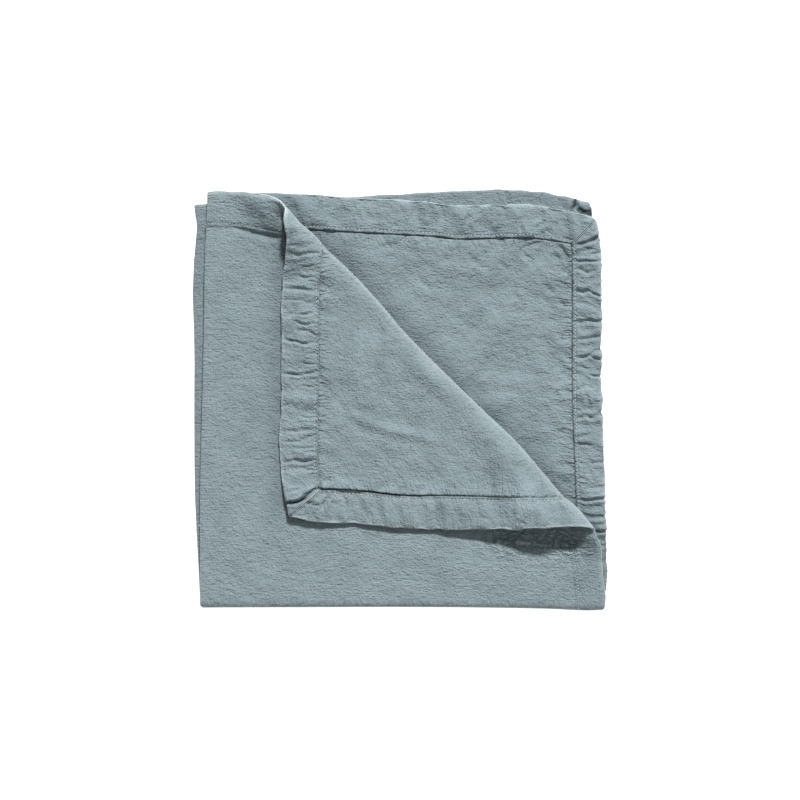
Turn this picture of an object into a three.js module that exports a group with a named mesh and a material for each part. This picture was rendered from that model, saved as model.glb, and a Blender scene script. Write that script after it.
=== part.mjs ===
// Folded linen table runner: one hemmed cloth, folded in four, its top corner turned back.
// Millimetres, +Z up. X runs right and Y away as the packet is seen from above, and the
// underside of the lowest layer lies on Z = 0.
//
// The cloth is folded in half at the left, right side out, and the pair is then folded under
// at the bottom. From the top, the layers are the front, the second, the third and the fourth.
// The front's right side faces up, so its corner shows the wrong side once it is turned back.

import * as THREE from "three";

// The cloth
const sheetThickness = 1.1;
const hemExtra = 0.6; // what the turned hem adds, all on the wrong side
const endHemWidth = 22.5; // the hems that end up at the top of the packet
const sideHemWidth = 18.7; // the hems that end up at its right

// The packet, in plan
const packetLeft = -124;
const packetRight = 127;
const packetHeight = 259;
const bottomBendY = -126; // where the panels start to bend under at the bottom
const cornerY = 112; // of the inner layers' right-hand top corners

// How the layers stack
const pairHalfGap = 1.5; // half the pitch between the two layers of a pair
const bendRadius = 2.4; // of the line half way between the two layers of the pair
const stackMiddle = sheetThickness / 2 + bendRadius + pairHalfGap;
const frontHeight = stackMiddle + bendRadius + pairHalfGap;
const innerFoldRise = 8.75; // how far the inner fold stops short of the outer one, at the right

// The turned-back corner: its fold starts on the top edge and ends on the right edge
const foldStart = new THREE.Vector2(-75.3, 123.8);
const foldEnd = new THREE.Vector2(120.9, -81.3);
const flapGap = 0.7; // clear space between the front and the corner lying on it
const settleLength = 9; // how far the flap takes to come down, in roll heights
const cornerLift = 3; // how far the flap's loose corner stands off
const cornerLiftReach = 34;

// The grid of the mesh
const panelCells = 19;
const panelRows = 27;
const hiddenRows = 11;
const foldSteps = 6;
const rollSteps = 5;
const settleSteps = [1.3, 3.0, 5.4]; // lines of the mesh past the roll, in its arc's radii
const hemStep = 0.8; // the width over which a hem's inner edge drops to the sheet
const snapDistance = 0.7;

// Left folds: the upper pair's and the lower pair's, which part towards the top
const leftFolds = {
  columns: ["y", "upperPair", "lowerPair"],
  rows: [
    [-131, -124.1, -124.4],
    [-100, -124.2, -125.9],
    [-60, -124.2, -127.8],
    [0, -122.8, -128.8],
    [45, -121.9, -129.0],
    [75, -121.5, -129.1],
    [89, -121.2, -128.4],
    [100, -120.8, -126.7],
    [110, -120.0, -127.7],
    [130, -119.7, -129.3],
  ],
};

// Right edges, inside the front's
const rightEdges = {
  columns: ["y", "second", "third", "fourth"],
  rows: [
    [-131, 129.0, 129.0, 127.0],
    [-95, 129.1, 128.4, 126.0],
    [-58, 129.0, 127.4, 125.2],
    [0, 126.7, 125.4, 123.4],
    [70, 125.9, 122.8, 120.6],
    [93, 125.3, 121.6, 119.0],
    [107, 123.4, 120.4, 118.0],
    [130, 119.8, 119.6, 117.2],
  ],
};

// Top edges, inside the front's
const topEdges = {
  columns: ["x", "second", "third", "fourth"],
  rows: [
    [-130, 128.0, 121.2, 120.0],
    [-93, 128.6, 122.4, 121.0],
    [-62, 127.9, 124.4, 122.6],
    [-20, 125.2, 126.8, 124.8],
    [22, 122.5, 129.2, 127.0],
    [34, 120.8, 129.8, 127.6],
    [62, 121.3, 130.6, 128.2],
    [84, 120.9, 129.6, 127.2],
    [103, 118.1, 126.9, 124.6],
    [119, 112.7, 120.6, 118.4],
    [130, 108.5, 114.0, 112.0],
  ],
};

// The bottom fold's outer line
const bottomFold = {
  columns: ["x", "outer"],
  rows: [
    [-125, -130.3],
    [50, -130.0],
    [90, -130.6],
    [116, -131.6],
    [130, -131.0],
  ],
};

// The front's top edge, from the left fold to where it curls up into the turned corner
const frontTopEdge = {
  columns: ["x", "y"],
  rows: [
    [-119.7, 129.6],
    [-113, 129.8],
    [-103, 129.3],
    [-90, 127.6],
    [-82, 126.2],
    [-77, 124.4],
  ],
};

// The front's right edge, from the bottom fold to where it curls up into the turned corner
const frontRightEdge = {
  columns: ["y", "x"],
  rows: [
    [-126.9, 128.2],
    [-119, 128.3],
    [-104, 126.6],
    [-90, 124.6],
    [-83.8, 121.8],
  ],
};

// The turned corner's left edge, which is the end of the cloth
const flapLeftEdge = {
  columns: ["y", "x"],
  rows: [
    [118.7, -71.0],
    [109, -71.4],
    [99, -70.6],
    [74, -72.8],
    [43, -73.4],
    [0, -74.0],
    [-24, -74.7],
    [-44, -74.1],
    [-60, -71.4],
    [-73.1, -69.1],
  ],
};

// The turned corner's lower edge, which is the side of the cloth
const flapLowerEdge = {
  columns: ["x", "y"],
  rows: [
    [-69.1, -73.1],
    [-49, -76.9],
    [-27, -77.6],
    [7, -80.6],
    [26, -81.3],
    [65, -81.3],
    [98, -80.0],
    [117, -79.8],
  ],
};

// The corner's fold: how far it bows outwards from its chord, and its roll's two half sizes
const cornerFold = {
  columns: ["along", "bow", "height", "width"],
  rows: [
    [0, 0.0, 3.6, 5.4],
    [22, -1.1, 3.2, 4.7],
    [43, 0.5, 2.4, 3.5],
    [67, 1.9, 1.9, 2.8],
    [96, 1.2, 1.6, 2.4],
    [111, 0.1, 1.6, 2.4],
    [142, 0.4, 1.7, 2.5],
    [185, 1.9, 2.3, 3.6],
    [209, 3.1, 3.1, 5.1],
    [233, 2.0, 4.3, 7.6],
    [257, 0.4, 5.6, 10.5],
    [284, 0.0, 6.8, 13.2],
  ],
};

// Soft hills that keep the upper pair from lying dead flat, once clear of the bottom fold
const hillStart = 0.08;
const hills = {
  columns: ["x", "y", "reach", "rise"],
  rows: [
    [-95, 60, 30, 0.3],
    [-70, -40, 40, -0.3],
    [40, -105, 32, 0.35],
    [60, 95, 26, 0.3],
    [85, 30, 30, -0.3],
    [110, 70, 16, 0.35],
    [112, -30, 18, 0.35],
    [-20, -100, 28, -0.25],
  ],
};

// Smooth reading of one named column of a table, whose first column rises down its rows
function read(table, column, at) {
  const pick = table.columns.indexOf(column);
  const { rows } = table;
  let low = 0;
  while (low < rows.length - 2 && rows[low + 1][0] < at) low += 1;
  const slope = (index) => {
    const before = rows[Math.max(index - 1, 0)];
    const after = rows[Math.min(index + 1, rows.length - 1)];
    return (after[pick] - before[pick]) / (after[0] - before[0]);
  };
  const span = rows[low + 1][0] - rows[low][0];
  const share = THREE.MathUtils.clamp((at - rows[low][0]) / span, 0, 1);
  const square = share * share;
  const cube = square * share;
  return (
    (2 * cube - 3 * square + 1) * rows[low][pick] +
    (cube - 2 * square + share) * span * slope(low) +
    (3 * square - 2 * cube) * rows[low + 1][pick] +
    (cube - square) * span * slope(low + 1)
  );
}

// Directions of the corner's fold: along its chord, and outwards to the unturned corner
const foldAlong = foldEnd.clone().sub(foldStart);
const foldLength = foldAlong.length();
foldAlong.normalize();
const foldOutward = new THREE.Vector2(-foldAlong.y, foldAlong.x);

// Where a plan point lies on the corner's fold, with the roll's two half sizes there
function rollAt(point) {
  const offset = point.clone().sub(foldStart);
  const along = offset.dot(foldAlong);
  const station = THREE.MathUtils.clamp(along, 0, foldLength);
  const bow = read(cornerFold, "bow", station);
  const height = read(cornerFold, "height", station);
  const width = read(cornerFold, "width", station);
  return {
    along,
    beyond: offset.dot(foldOutward) - bow,
    bow,
    height,
    width,
    arc: Math.sqrt((height * height + width * width) / 2),
  };
}

function planPoint(along, outward) {
  return foldStart
    .clone()
    .addScaledVector(foldAlong, along)
    .addScaledVector(foldOutward, outward);
}

// Angle round the roll of a point of the front laid out flat: 0 where the cloth leaves the
// packet, PI where it lies back over it
function rollAngle(point) {
  const roll = rollAt(point);
  return (roll.beyond + roll.width) / roll.arc;
}

// The flat cloth's place for a point that is seen on the turned corner, under or over the roll
function layOut(point, over) {
  const roll = rollAt(point);
  const inside = -roll.beyond;
  let run = roll.width - inside;
  if (inside < roll.width) {
    const angle = Math.asin(THREE.MathUtils.clamp(run / roll.width, -1, 1));
    run = roll.arc * (over ? Math.PI - angle : angle);
  } else if (over) {
    run = Math.PI * roll.arc - run;
  }
  return planPoint(roll.along, run - roll.width + roll.bow);
}

// The points of an edge's table, laid out flat
function layOutEdge(table, over) {
  const xFirst = table.columns[0] === "x";
  return table.rows.map((row) => {
    const point = xFirst ? new THREE.Vector2(row[0], row[1]) : new THREE.Vector2(row[1], row[0]);
    return layOut(point, over);
  });
}

const frontTopLine = new THREE.SplineCurve([
  ...layOutEdge(frontTopEdge, false),
  ...layOutEdge(flapLeftEdge, true),
]);
const frontRightLine = new THREE.SplineCurve([
  ...layOutEdge(frontRightEdge, false),
  ...layOutEdge(flapLowerEdge, true).reverse(),
]);

// Distance from a fold's outermost line to where its cloth lies flat
const leftFoldDepth = pairHalfGap + sheetThickness / 2;
const outerFoldDepth = bendRadius + pairHalfGap + sheetThickness / 2;
function bendLine(x, inner) {
  const across = THREE.MathUtils.clamp((x - packetLeft) / (packetRight - packetLeft), 0, 1);
  const rise = inner ? innerFoldRise * THREE.MathUtils.smoothstep(across, 0, 1) : 0;
  return read(bottomFold, "outer", x) + outerFoldDepth + rise;
}

// The four edges of each layer in plan, each as a function of a share from 0 to 1
function panelEdges(name) {
  const pair = name === "front" || name === "second" ? "upperPair" : "lowerPair";
  const inner = name === "second" || name === "third";
  const front = name === "front";
  const left = (y) => read(leftFolds, pair, y) + leftFoldDepth;
  const right = (y) => read(rightEdges, front ? "second" : name, y);
  const foldEndX = read(rightEdges, "second", bottomBendY);
  const bottomRightX = inner ? foldEndX : frontRightLine.getPointAt(0).x;
  const bottomLeftX = read(leftFolds, "upperPair", bottomBendY) + leftFoldDepth;
  const bottom = (share) => {
    const x = THREE.MathUtils.lerp(bottomLeftX, bottomRightX, share);
    return new THREE.Vector2(x, bendLine(x, inner));
  };
  const lowLeft = bottom(0);
  const lowRight = bottom(1);
  const highLeftY = front ? frontTopLine.getPointAt(0).y : read(topEdges, name, packetLeft);
  const highLeft = new THREE.Vector2(left(highLeftY), highLeftY);
  const highRightY = front ? cornerY : read(topEdges, name, right(cornerY));
  const highRight = new THREE.Vector2(right(highRightY), highRightY);
  const side = (from, to, line) => (share) => {
    const y = THREE.MathUtils.lerp(from.y, to.y, share);
    const ease = (end, at) => (end.x - line(end.y)) * at;
    return new THREE.Vector2(line(y) + ease(from, 1 - share) + ease(to, share), y);
  };
  const top = (share) => {
    const x = THREE.MathUtils.lerp(highLeft.x, highRight.x, share);
    return new THREE.Vector2(x, read(topEdges, name, x));
  };
  return {
    bottom,
    left: side(lowLeft, highLeft, left),
    right: front ? (share) => frontRightLine.getPointAt(share) : side(lowRight, highRight, right),
    top: front ? (share) => frontTopLine.getPointAt(share) : top,
  };
}

const edges = Object.fromEntries(
  ["front", "second", "third", "fourth"].map((name) => [name, panelEdges(name)]),
);

// A layer's plan point: across runs from the left fold to the right edge, up from the bottom
// fold to the top edge
function planPlace(name, across, up) {
  const { left, right, bottom, top } = edges[name];
  const between = (a, b, share) => a.clone().lerp(b, share);
  const sides = between(left(up), right(up), across);
  const ends = between(bottom(across), top(across), up);
  const corners = between(
    between(bottom(0), bottom(1), across),
    between(top(0), top(1), across),
    up,
  );
  return sides.add(ends).sub(corners);
}

// Grid shares from 0 to 1, with a close pair of lines at the inner edge of the hem
function panelShares(cells, length, hemWidth) {
  const hem = 1 - hemWidth / length;
  const step = hemStep / length;
  const hemCells = Math.max(2, Math.round((cells * hemWidth) / length));
  const panel = Array.from({ length: cells - hemCells + 1 }, (_, i) => (i / (cells - hemCells)) * hem);
  const band = Array.from({ length: hemCells + 1 }, (_, i) =>
    THREE.MathUtils.lerp(hem + step, 1, i / hemCells),
  );
  return [...panel, ...band];
}

function foldAngles() {
  return Array.from({ length: foldSteps - 1 }, (_, i) => ((i + 1) / foldSteps) * Math.PI);
}

// Columns of the whole cloth from the inner panel's hem, round the left fold, to the outer's
const panelWidth = packetRight - packetLeft;
const acrossShares = panelShares(panelCells, panelWidth, sideHemWidth);
const columns = [
  ...[...acrossShares].reverse().map((across) => ({ inner: true, across })),
  ...foldAngles().reverse().map((turn) => ({ turn, across: 0 })),
  ...acrossShares.map((across) => ({ inner: false, across })),
];

// Rows of the whole cloth from the lower panels' top hem, round the bottom fold, to the upper's
const rows = [
  ...panelShares(hiddenRows, packetHeight, endHemWidth).reverse().map((up) => ({ under: true, up })),
  ...foldAngles().reverse().map((turn) => ({ turn, up: 0 })),
  ...panelShares(panelRows, packetHeight, endHemWidth).map((up) => ({ under: false, up })),
];

function hemThickness(across, up) {
  const side = 1 - sideHemWidth / panelWidth;
  const end = 1 - endHemWidth / packetHeight;
  return across > side + 1e-6 || up > end + 1e-6 ? hemExtra : 0;
}

// How far the hills have come up at this height of a panel, from nothing at the bottom fold
function hillShare(up) {
  return THREE.MathUtils.smoothstep(up, 0, hillStart);
}

function unevenness(point) {
  return hills.rows.reduce((sum, [x, y, reach, rise]) => {
    const far = ((point.x - x) ** 2 + (point.y - y) ** 2) / (reach * reach);
    return sum + rise * Math.exp(-far);
  }, 0);
}

// Height of the corner's flap over the front, from how far it has run since the roll
function flapHeight(roll, run, point) {
  const rest = sheetThickness + flapGap;
  const share = THREE.MathUtils.clamp(run / (settleLength * roll.height), 0, 1);
  const fall = 1 - THREE.MathUtils.smootherstep(share, 0, 1);
  const corner = new THREE.Vector2(flapLowerEdge.rows[0][0], flapLowerEdge.rows[0][1]);
  const near = point.distanceTo(corner) / cornerLiftReach;
  return rest + (2 * roll.height - rest) * fall + cornerLift * Math.exp(-near * near);
}

// Place in space of a point of the front panel laid out flat
function frontPlace(point, hillsUp) {
  const roll = rollAt(point);
  const angle = (roll.beyond + roll.width) / roll.arc;
  if (angle <= 0) {
    return new THREE.Vector3(point.x, point.y, frontHeight + hillsUp * unevenness(point));
  }
  const past = Math.max(0, (angle - Math.PI) * roll.arc);
  const across = past > 0 ? -roll.width - past : roll.width * (Math.sin(angle) - 1);
  const seen = planPoint(roll.along, across + roll.bow);
  const lift =
    past > 0
      ? flapHeight(roll, past, seen)
      : roll.height * (1 - Math.cos(angle)) +
        (flapHeight(roll, 0, seen) - 2 * roll.height) * (angle / Math.PI) ** 2;
  return new THREE.Vector3(seen.x, seen.y, frontHeight + hillsUp * unevenness(seen) + lift);
}

// Grid vertices, each with its place on the sheet's middle surface
function gridVertex(column, row) {
  const hem = hemThickness(column.across, row.up);
  const offset =
    column.turn === undefined
      ? pairHalfGap * (column.inner ? -1 : 1)
      : pairHalfGap * Math.cos(column.turn);
  const shift = column.turn === undefined ? 0 : -pairHalfGap * Math.sin(column.turn);
  const radius = bendRadius + offset;
  const upperName = column.inner ? "second" : "front";
  const lowerName = column.inner ? "third" : "fourth";
  if (row.turn !== undefined) {
    const point = planPlace(upperName, column.across, 0);
    const y = point.y - radius * Math.sin(row.turn);
    const z = stackMiddle + radius * Math.cos(row.turn);
    return { hem, place: new THREE.Vector3(point.x + shift, y, z) };
  }
  const point = planPlace(row.under ? lowerName : upperName, column.across, row.up);
  if (row.under) {
    return { hem, place: new THREE.Vector3(point.x + shift, point.y, stackMiddle - radius) };
  }
  if (column.turn !== undefined || column.inner) {
    const z = stackMiddle + radius + hillShare(row.up) * unevenness(point);
    return { hem, place: new THREE.Vector3(point.x + shift, point.y, z) };
  }
  return { hem, flat: point, hills: hillShare(row.up) };
}

// Angles of the mesh's lines along the roll, and past it as the flap comes down
const rollLines = [
  ...Array.from({ length: rollSteps + 1 }, (_, i) => (i / rollSteps) * Math.PI),
  ...settleSteps.map((run) => Math.PI + run),
];

// Moves a front vertex that nearly lies on one of those lines on to it
function snapToRoll(vertex) {
  const roll = rollAt(vertex.flat);
  const angle = (roll.beyond + roll.width) / roll.arc;
  rollLines.forEach((lineAngle, line) => {
    const away = (angle - lineAngle) * roll.arc;
    if (vertex.line === undefined && Math.abs(away) < snapDistance) {
      vertex.flat = vertex.flat.clone().addScaledVector(foldOutward, -away);
      vertex.line = line;
    }
  });
}

const vertices = [];
const grid = rows.map((row) =>
  columns.map((column) => {
    const vertex = gridVertex(column, row);
    if (vertex.flat) snapToRoll(vertex);
    vertices.push(vertex);
    return vertices.length - 1;
  }),
);

// Cells of the sheet as polygons of vertex numbers, right side out
const cells = [];
for (let j = 0; j + 1 < rows.length; j += 1) {
  for (let i = 0; i + 1 < columns.length; i += 1) {
    cells.push([grid[j][i], grid[j][i + 1], grid[j + 1][i + 1], grid[j + 1][i]]);
  }
}

// Cuts the front's cells along the roll's lines, so that the bend is round
const cutMade = new Map();

function rollValue(vertex, line) {
  if (vertex.line !== undefined) return vertex.line - line;
  return rollAngle(vertex.flat) - rollLines[line];
}

function cutPoint(first, second, line) {
  const [a, b] = first < second ? [first, second] : [second, first];
  const name = `${a} ${b} ${line}`;
  if (cutMade.has(name)) return cutMade.get(name);
  const start = vertices[a];
  const end = vertices[b];
  const startsBelow = rollValue(start, line) < 0;
  let low = 0;
  let high = 1;
  for (let step = 0; step < 40; step += 1) {
    const middle = (low + high) / 2;
    const below = rollValue({ flat: start.flat.clone().lerp(end.flat, middle) }, line) < 0;
    if (below === startsBelow) low = middle;
    else high = middle;
  }
  vertices.push({
    flat: start.flat.clone().lerp(end.flat, low),
    hem: Math.min(start.hem, end.hem),
    hills: THREE.MathUtils.lerp(start.hills, end.hills, low),
    line,
  });
  cutMade.set(name, vertices.length - 1);
  return vertices.length - 1;
}

function splitPolygon(polygon, line) {
  const inner = [];
  const outer = [];
  polygon.forEach((number, index) => {
    const next = polygon[(index + 1) % polygon.length];
    const here = rollValue(vertices[number], line);
    const there = rollValue(vertices[next], line);
    if (here <= 0) inner.push(number);
    if (here >= 0) outer.push(number);
    if (here * there < 0) {
      const cut = cutPoint(number, next, line);
      inner.push(cut);
      outer.push(cut);
    }
  });
  return [inner, outer].filter((part) => new Set(part).size > 2);
}

let polygons = cells;
for (let line = 0; line < rollLines.length; line += 1) {
  polygons = polygons.flatMap((polygon) => {
    if (!polygon.every((number) => vertices[number].flat)) return [polygon];
    const values = polygon.map((number) => rollValue(vertices[number], line));
    const crossed = Math.min(...values) < 0 && Math.max(...values) > 0;
    return crossed ? splitPolygon(polygon, line) : [polygon];
  });
}

for (const vertex of vertices) {
  if (vertex.flat) vertex.place = frontPlace(vertex.flat, vertex.hills);
}

// Splits each polygon into triangles from the corner that leaves the squarest ones
function fan(polygon) {
  const area = (a, b, c) => {
    const [p, q, r] = [a, b, c].map((number) => vertices[number].place);
    return q.clone().sub(p).cross(r.clone().sub(p)).length() / 2;
  };
  let best = null;
  for (let turn = 0; turn < polygon.length; turn += 1) {
    const order = [...polygon.slice(turn), ...polygon.slice(0, turn)];
    const triangles = [];
    for (let k = 1; k + 1 < order.length; k += 1) triangles.push([order[0], order[k], order[k + 1]]);
    const smallest = Math.min(...triangles.map((triangle) => area(...triangle)));
    if (!best || smallest > best.smallest + 1e-9) best = { smallest, triangles };
  }
  return best.triangles;
}

const sheetTriangles = polygons.flatMap(fan);

// Normals of the sheet's right side, from the triangles round each vertex
const normals = vertices.map(() => new THREE.Vector3());
for (const triangle of sheetTriangles) {
  const corners = triangle.map((number) => vertices[number].place);
  triangle.forEach((number, index) => {
    const here = corners[index];
    const next = corners[(index + 1) % 3].clone().sub(here);
    const last = corners[(index + 2) % 3].clone().sub(here);
    const angle = next.angleTo(last);
    normals[number].addScaledVector(next.cross(last).normalize(), angle);
  });
}
normals.forEach((normal) => normal.normalize());

// The closed solid: right side, wrong side, and a wall round the cloth's edge
function clothGeometry() {
  const positions = [];
  vertices.forEach((vertex, number) => {
    const outer = vertex.place.clone().addScaledVector(normals[number], sheetThickness / 2);
    positions.push(outer.x, outer.y, outer.z);
  });
  vertices.forEach((vertex, number) => {
    const depth = sheetThickness / 2 + vertex.hem;
    const inner = vertex.place.clone().addScaledVector(normals[number], -depth);
    positions.push(inner.x, inner.y, inner.z);
  });
  const shift = vertices.length;
  const index = [];
  const open = new Map();
  for (const [a, b, c] of sheetTriangles) {
    index.push(a, b, c, a + shift, c + shift, b + shift);
    for (const [from, to] of [[a, b], [b, c], [c, a]]) {
      const back = `${to} ${from}`;
      if (open.has(back)) open.delete(back);
      else open.set(`${from} ${to}`, [from, to]);
    }
  }
  for (const [from, to] of open.values()) {
    index.push(to, from, from + shift, to, from + shift, to + shift);
  }
  const geometry = new THREE.BufferGeometry();
  geometry.setAttribute("position", new THREE.Float32BufferAttribute(positions, 3));
  geometry.setIndex(index);
  geometry.computeBoundingBox();
  const middle = geometry.boundingBox.getCenter(new THREE.Vector3());
  geometry.translate(-middle.x, -middle.y, 0);
  geometry.computeVertexNormals();
  return geometry;
}

const linen = new THREE.MeshStandardMaterial({ color: 0x87969c, roughness: 0.92, metalness: 0 });

const cloth = new THREE.Mesh(clothGeometry(), linen);
cloth.name = "runner_cloth";

const runner = new THREE.Group();
runner.add(cloth);

export default runner;
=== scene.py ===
# Folded linen table runner, seen from straight above on a white surface.
# One hemmed cloth, folded in four, its top corner turned back. The cloth lies on the same
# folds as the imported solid: its tables are repeated here in millimetres, and everything is
# turned into metres when a mesh is made.

import math

import bpy
import numpy as np
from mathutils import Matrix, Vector


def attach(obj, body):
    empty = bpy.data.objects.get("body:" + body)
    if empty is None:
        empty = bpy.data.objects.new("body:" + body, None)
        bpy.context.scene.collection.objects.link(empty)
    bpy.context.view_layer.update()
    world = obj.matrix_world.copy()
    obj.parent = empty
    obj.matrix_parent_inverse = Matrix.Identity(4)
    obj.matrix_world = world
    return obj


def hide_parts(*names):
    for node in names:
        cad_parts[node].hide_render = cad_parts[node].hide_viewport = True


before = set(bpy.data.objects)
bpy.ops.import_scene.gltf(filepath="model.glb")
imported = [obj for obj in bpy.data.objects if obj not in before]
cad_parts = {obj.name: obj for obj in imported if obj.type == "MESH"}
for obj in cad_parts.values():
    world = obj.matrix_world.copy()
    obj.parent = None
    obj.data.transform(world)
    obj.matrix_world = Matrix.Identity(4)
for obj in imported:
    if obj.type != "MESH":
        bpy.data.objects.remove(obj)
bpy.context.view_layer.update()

MM = 0.001

# The cloth: its right side keeps to the solid's, and its own sheet is thinner
SOLID_HALF = 0.55
SHEET = 0.6
HEM_LIFT = 1.1  # what the turned hem adds, all on the wrong side
END_HEM = 22.5  # the hems that end up at the top of the packet
SIDE_HEM = 18.7  # the hems that end up at its right

# The packet, in plan
PACKET_LEFT = -124.0
PACKET_RIGHT = 127.0
PACKET_HEIGHT = 259.0
PANEL_WIDTH = PACKET_RIGHT - PACKET_LEFT
BOTTOM_BEND_Y = -126.0
CORNER_Y = 112.0
BOX_MIDDLE = np.array([0.065, -0.650])  # of the solid, in the plan of these tables

# How the layers stack
PAIR_HALF_GAP = 1.5
BEND_RADIUS = 2.4
STACK_MIDDLE = SOLID_HALF + BEND_RADIUS + PAIR_HALF_GAP
FRONT_HEIGHT = STACK_MIDDLE + BEND_RADIUS + PAIR_HALF_GAP
INNER_FOLD_RISE = 8.75
LEFT_FOLD_DEPTH = PAIR_HALF_GAP + SOLID_HALF
OUTER_FOLD_DEPTH = BEND_RADIUS + PAIR_HALF_GAP + SOLID_HALF

# The turned-back corner
FOLD_START = np.array([-75.3, 123.8])
FOLD_END = np.array([120.9, -81.3])
FLAP_REST = 1.8  # of the flap's middle over the front's, once it has come down
SETTLE_LENGTH = 9.0
SWELL = 1.9  # how far the flap swells behind its fold
SWELL_RISE = 11.0
SWELL_REACH = 60.0
SWELL_START = (25, 60)  # along the fold
SWELL_END = (215, 255)
LIFT_START = (0, 8)  # past the roll
CORNER_LIFT = 2.6
CORNER_REACH = 34.0

# The top edge curls up before the roll starts
CURL_LIFT = 6.8
CURL_LENGTH = 22.0  # along the fold
CURL_REACH = 7.0  # inwards from the roll
CURL_SETTLE = 22.0  # past the roll

# The flat cloth's own grid runs from its left fold and from its bottom fold
TURN_HALF = math.pi * PAIR_HALF_GAP / 2
BEND_HALF = math.pi * BEND_RADIUS / 2
BEND_SQUARENESS = 0.62  # under 1, the bottom fold stays flat for longer and is steeper at its edge
FOLD_CORNER = 2.2  # how far the bottom fold's right end is drawn in
FOLD_CORNER_REACH = 7.5
FOLD_CORNER_START = (0.95, 1)  # a share of the panel's width
U_END = TURN_HALF + PANEL_WIDTH
V_END = BEND_HALF + PACKET_HEIGHT

# Edges and folds as tables of smooth curves: the first row names the columns

LEFT_FOLDS = (
    ("y", "upper", "lower"),
    (-131, -124.1, -124.4),
    (-100, -124.2, -125.9),
    (-60, -124.2, -127.8),
    (0, -122.8, -128.1),
    (35, -122.0, -127.9),
    (60, -121.7, -128.9),
    (78, -121.5, -128.8),
    (89, -121.2, -127.8),
    (97, -120.9, -126.2),
    (104, -120.5, -125.9),
    (110, -120.2, -126.4),
    (116, -120.0, -127.3),
    (122, -119.8, -128.2),
    (130, -119.7, -128.8),
)

RIGHT_EDGES = (
    ("y", "second", "third", "fourth"),
    (-131, 129.0, 129.0, 127.0),
    (-95, 129.1, 128.4, 126.0),
    (-58, 128.4, 127.2, 125.2),
    (0, 126.2, 125.2, 123.4),
    (70, 125.9, 122.8, 120.6),
    (93, 125.3, 121.6, 119.0),
    (107, 123.4, 120.4, 118.0),
    (130, 119.8, 119.6, 117.2),
)

TOP_EDGES = (
    ("x", "second", "third", "fourth"),
    (-130, 128.0, 121.2, 120.0),
    (-93, 128.6, 122.4, 121.0),
    (-62, 127.9, 124.4, 122.6),
    (-20, 125.2, 126.8, 124.8),
    (22, 122.5, 129.2, 127.0),
    (34, 120.8, 129.8, 127.6),
    (62, 121.3, 130.6, 128.2),
    (84, 120.9, 129.6, 127.2),
    (103, 117.7, 126.3, 124.0),
    (110, 115.9, 124.6, 122.0),
    (117, 114.0, 122.8, 119.4),
    (130, 110.6, 119.2, 113.5),
)

BOTTOM_FOLD = (
    ("x", "outer"),
    (-125, -129.9),
    (-60, -129.5),
    (0, -129.2),
    (50, -129.4),
    (90, -130.0),
    (116, -131.0),
    (130, -130.6),
)

FRONT_TOP_EDGE = (
    ("x", "y"),
    (-119.7, 129.6),
    (-113, 129.8),
    (-103, 129.3),
    (-90, 127.6),
    (-82, 126.2),
    (-77, 124.4),
    (-74.6, 122.6),
    (-71.8, 119.7),
)

FRONT_RIGHT_EDGE = (
    ("y", "x"),
    (-126.9, 128.2), (-119, 128.3), (-104, 126.6), (-90, 124.6), (-83.8, 121.8),
)

FLAP_LEFT_EDGE = (
    ("y", "x"),
    (118.4, -71.4),
    (114, -71.7),
    (107, -70.9),
    (99, -70.4),
    (74, -72.8),
    (43, -73.4),
    (0, -74.0),
    (-24, -74.7),
    (-44, -74.1),
    (-60, -71.4),
    (-73.1, -69.1),
)

FLAP_LOWER_EDGE = (
    ("x", "y"),
    (-69.1, -73.1),
    (-49, -76.9),
    (-27, -77.6),
    (7, -80.6),
    (26, -81.3),
    (65, -81.3),
    (98, -80.0),
    (117, -79.8),
)

# The corner's fold: how far it bows outwards from its chord, and its roll's two half sizes
CORNER_FOLD = (
    ("along", "bow", "height", "width"),
    (0, 0.0, 5.8, 9.5),
    (22, -1.1, 4.8, 7.8),
    (43, 0.5, 3.0, 4.6),
    (67, 1.9, 1.9, 2.8),
    (96, 1.2, 1.6, 2.4),
    (111, 0.1, 1.6, 2.4),
    (142, 0.4, 1.7, 2.5),
    (185, 1.9, 2.3, 3.6),
    (209, 3.1, 3.1, 5.1),
    (233, 2.0, 4.3, 7.6),
    (257, 0.4, 5.6, 10.5),
    (284, 0.0, 6.8, 13.2),
)

# How much wider the front panel's top and side hems lie than the plan's own lines would leave them
TOP_HEM_SPREAD = (
    ("u", "share"),
    (0, 0.0),
    (60, 0.03),
    (94, 0.03),
    (118, 0.05),
    (130, 0.08),
    (154, 0.14),
    (178, 0.19),
    (190, 0.19),
    (214, 0.13),
    (254, 0.11),
)
SIDE_HEM_SPREAD = (
    ("v", "share"),
    (0, 0.0), (100, 0.0), (126, 0.03), (150, 0.08), (174, 0.165), (210, 0.175), (263, 0.175),
)
SPREAD_FADE = 5.0  # hem widths over which the panel takes the spread up again

# Soft hills of the upper pair: x, y, reach, rise
HILL_START = 0.08
HILLS = (
    (-95, 60, 30, 0.3),
    (-70, -40, 40, -0.3),
    (40, -105, 32, 0.35),
    (60, 95, 26, 0.3),
    (85, 30, 30, -0.3),
    (110, 70, 16, 0.35),
    (112, -30, 18, 0.35),
    (-20, -100, 28, -0.25),
)

# Where the flap stands off the front beside the mouth: x, y, reach along x, reach along y, rise
FLAP_LIFTS = (
    (67, -82, 22, 26, 6.4),
    (93, -82, 14, 20, 1.6),
)

# Where the front rises under the fold's lower end, in the same columns
FRONT_LIFTS = (
    (117, -84, 7, 8, 8.5),
)

# Where the front is crumpled under the flap: x, y, reach along x, reach along y, added amplitude
FRONT_CRUMPLES = (
    (85, -89, 32, 9, 1.5),
    (114, -95, 14, 22, 0.6),
)

# The upturned corner of the third layer, in the same columns
THIRD_LOBE = (
    (114, 120.8, 4.5, 3.2, 1.4),
)

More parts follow.
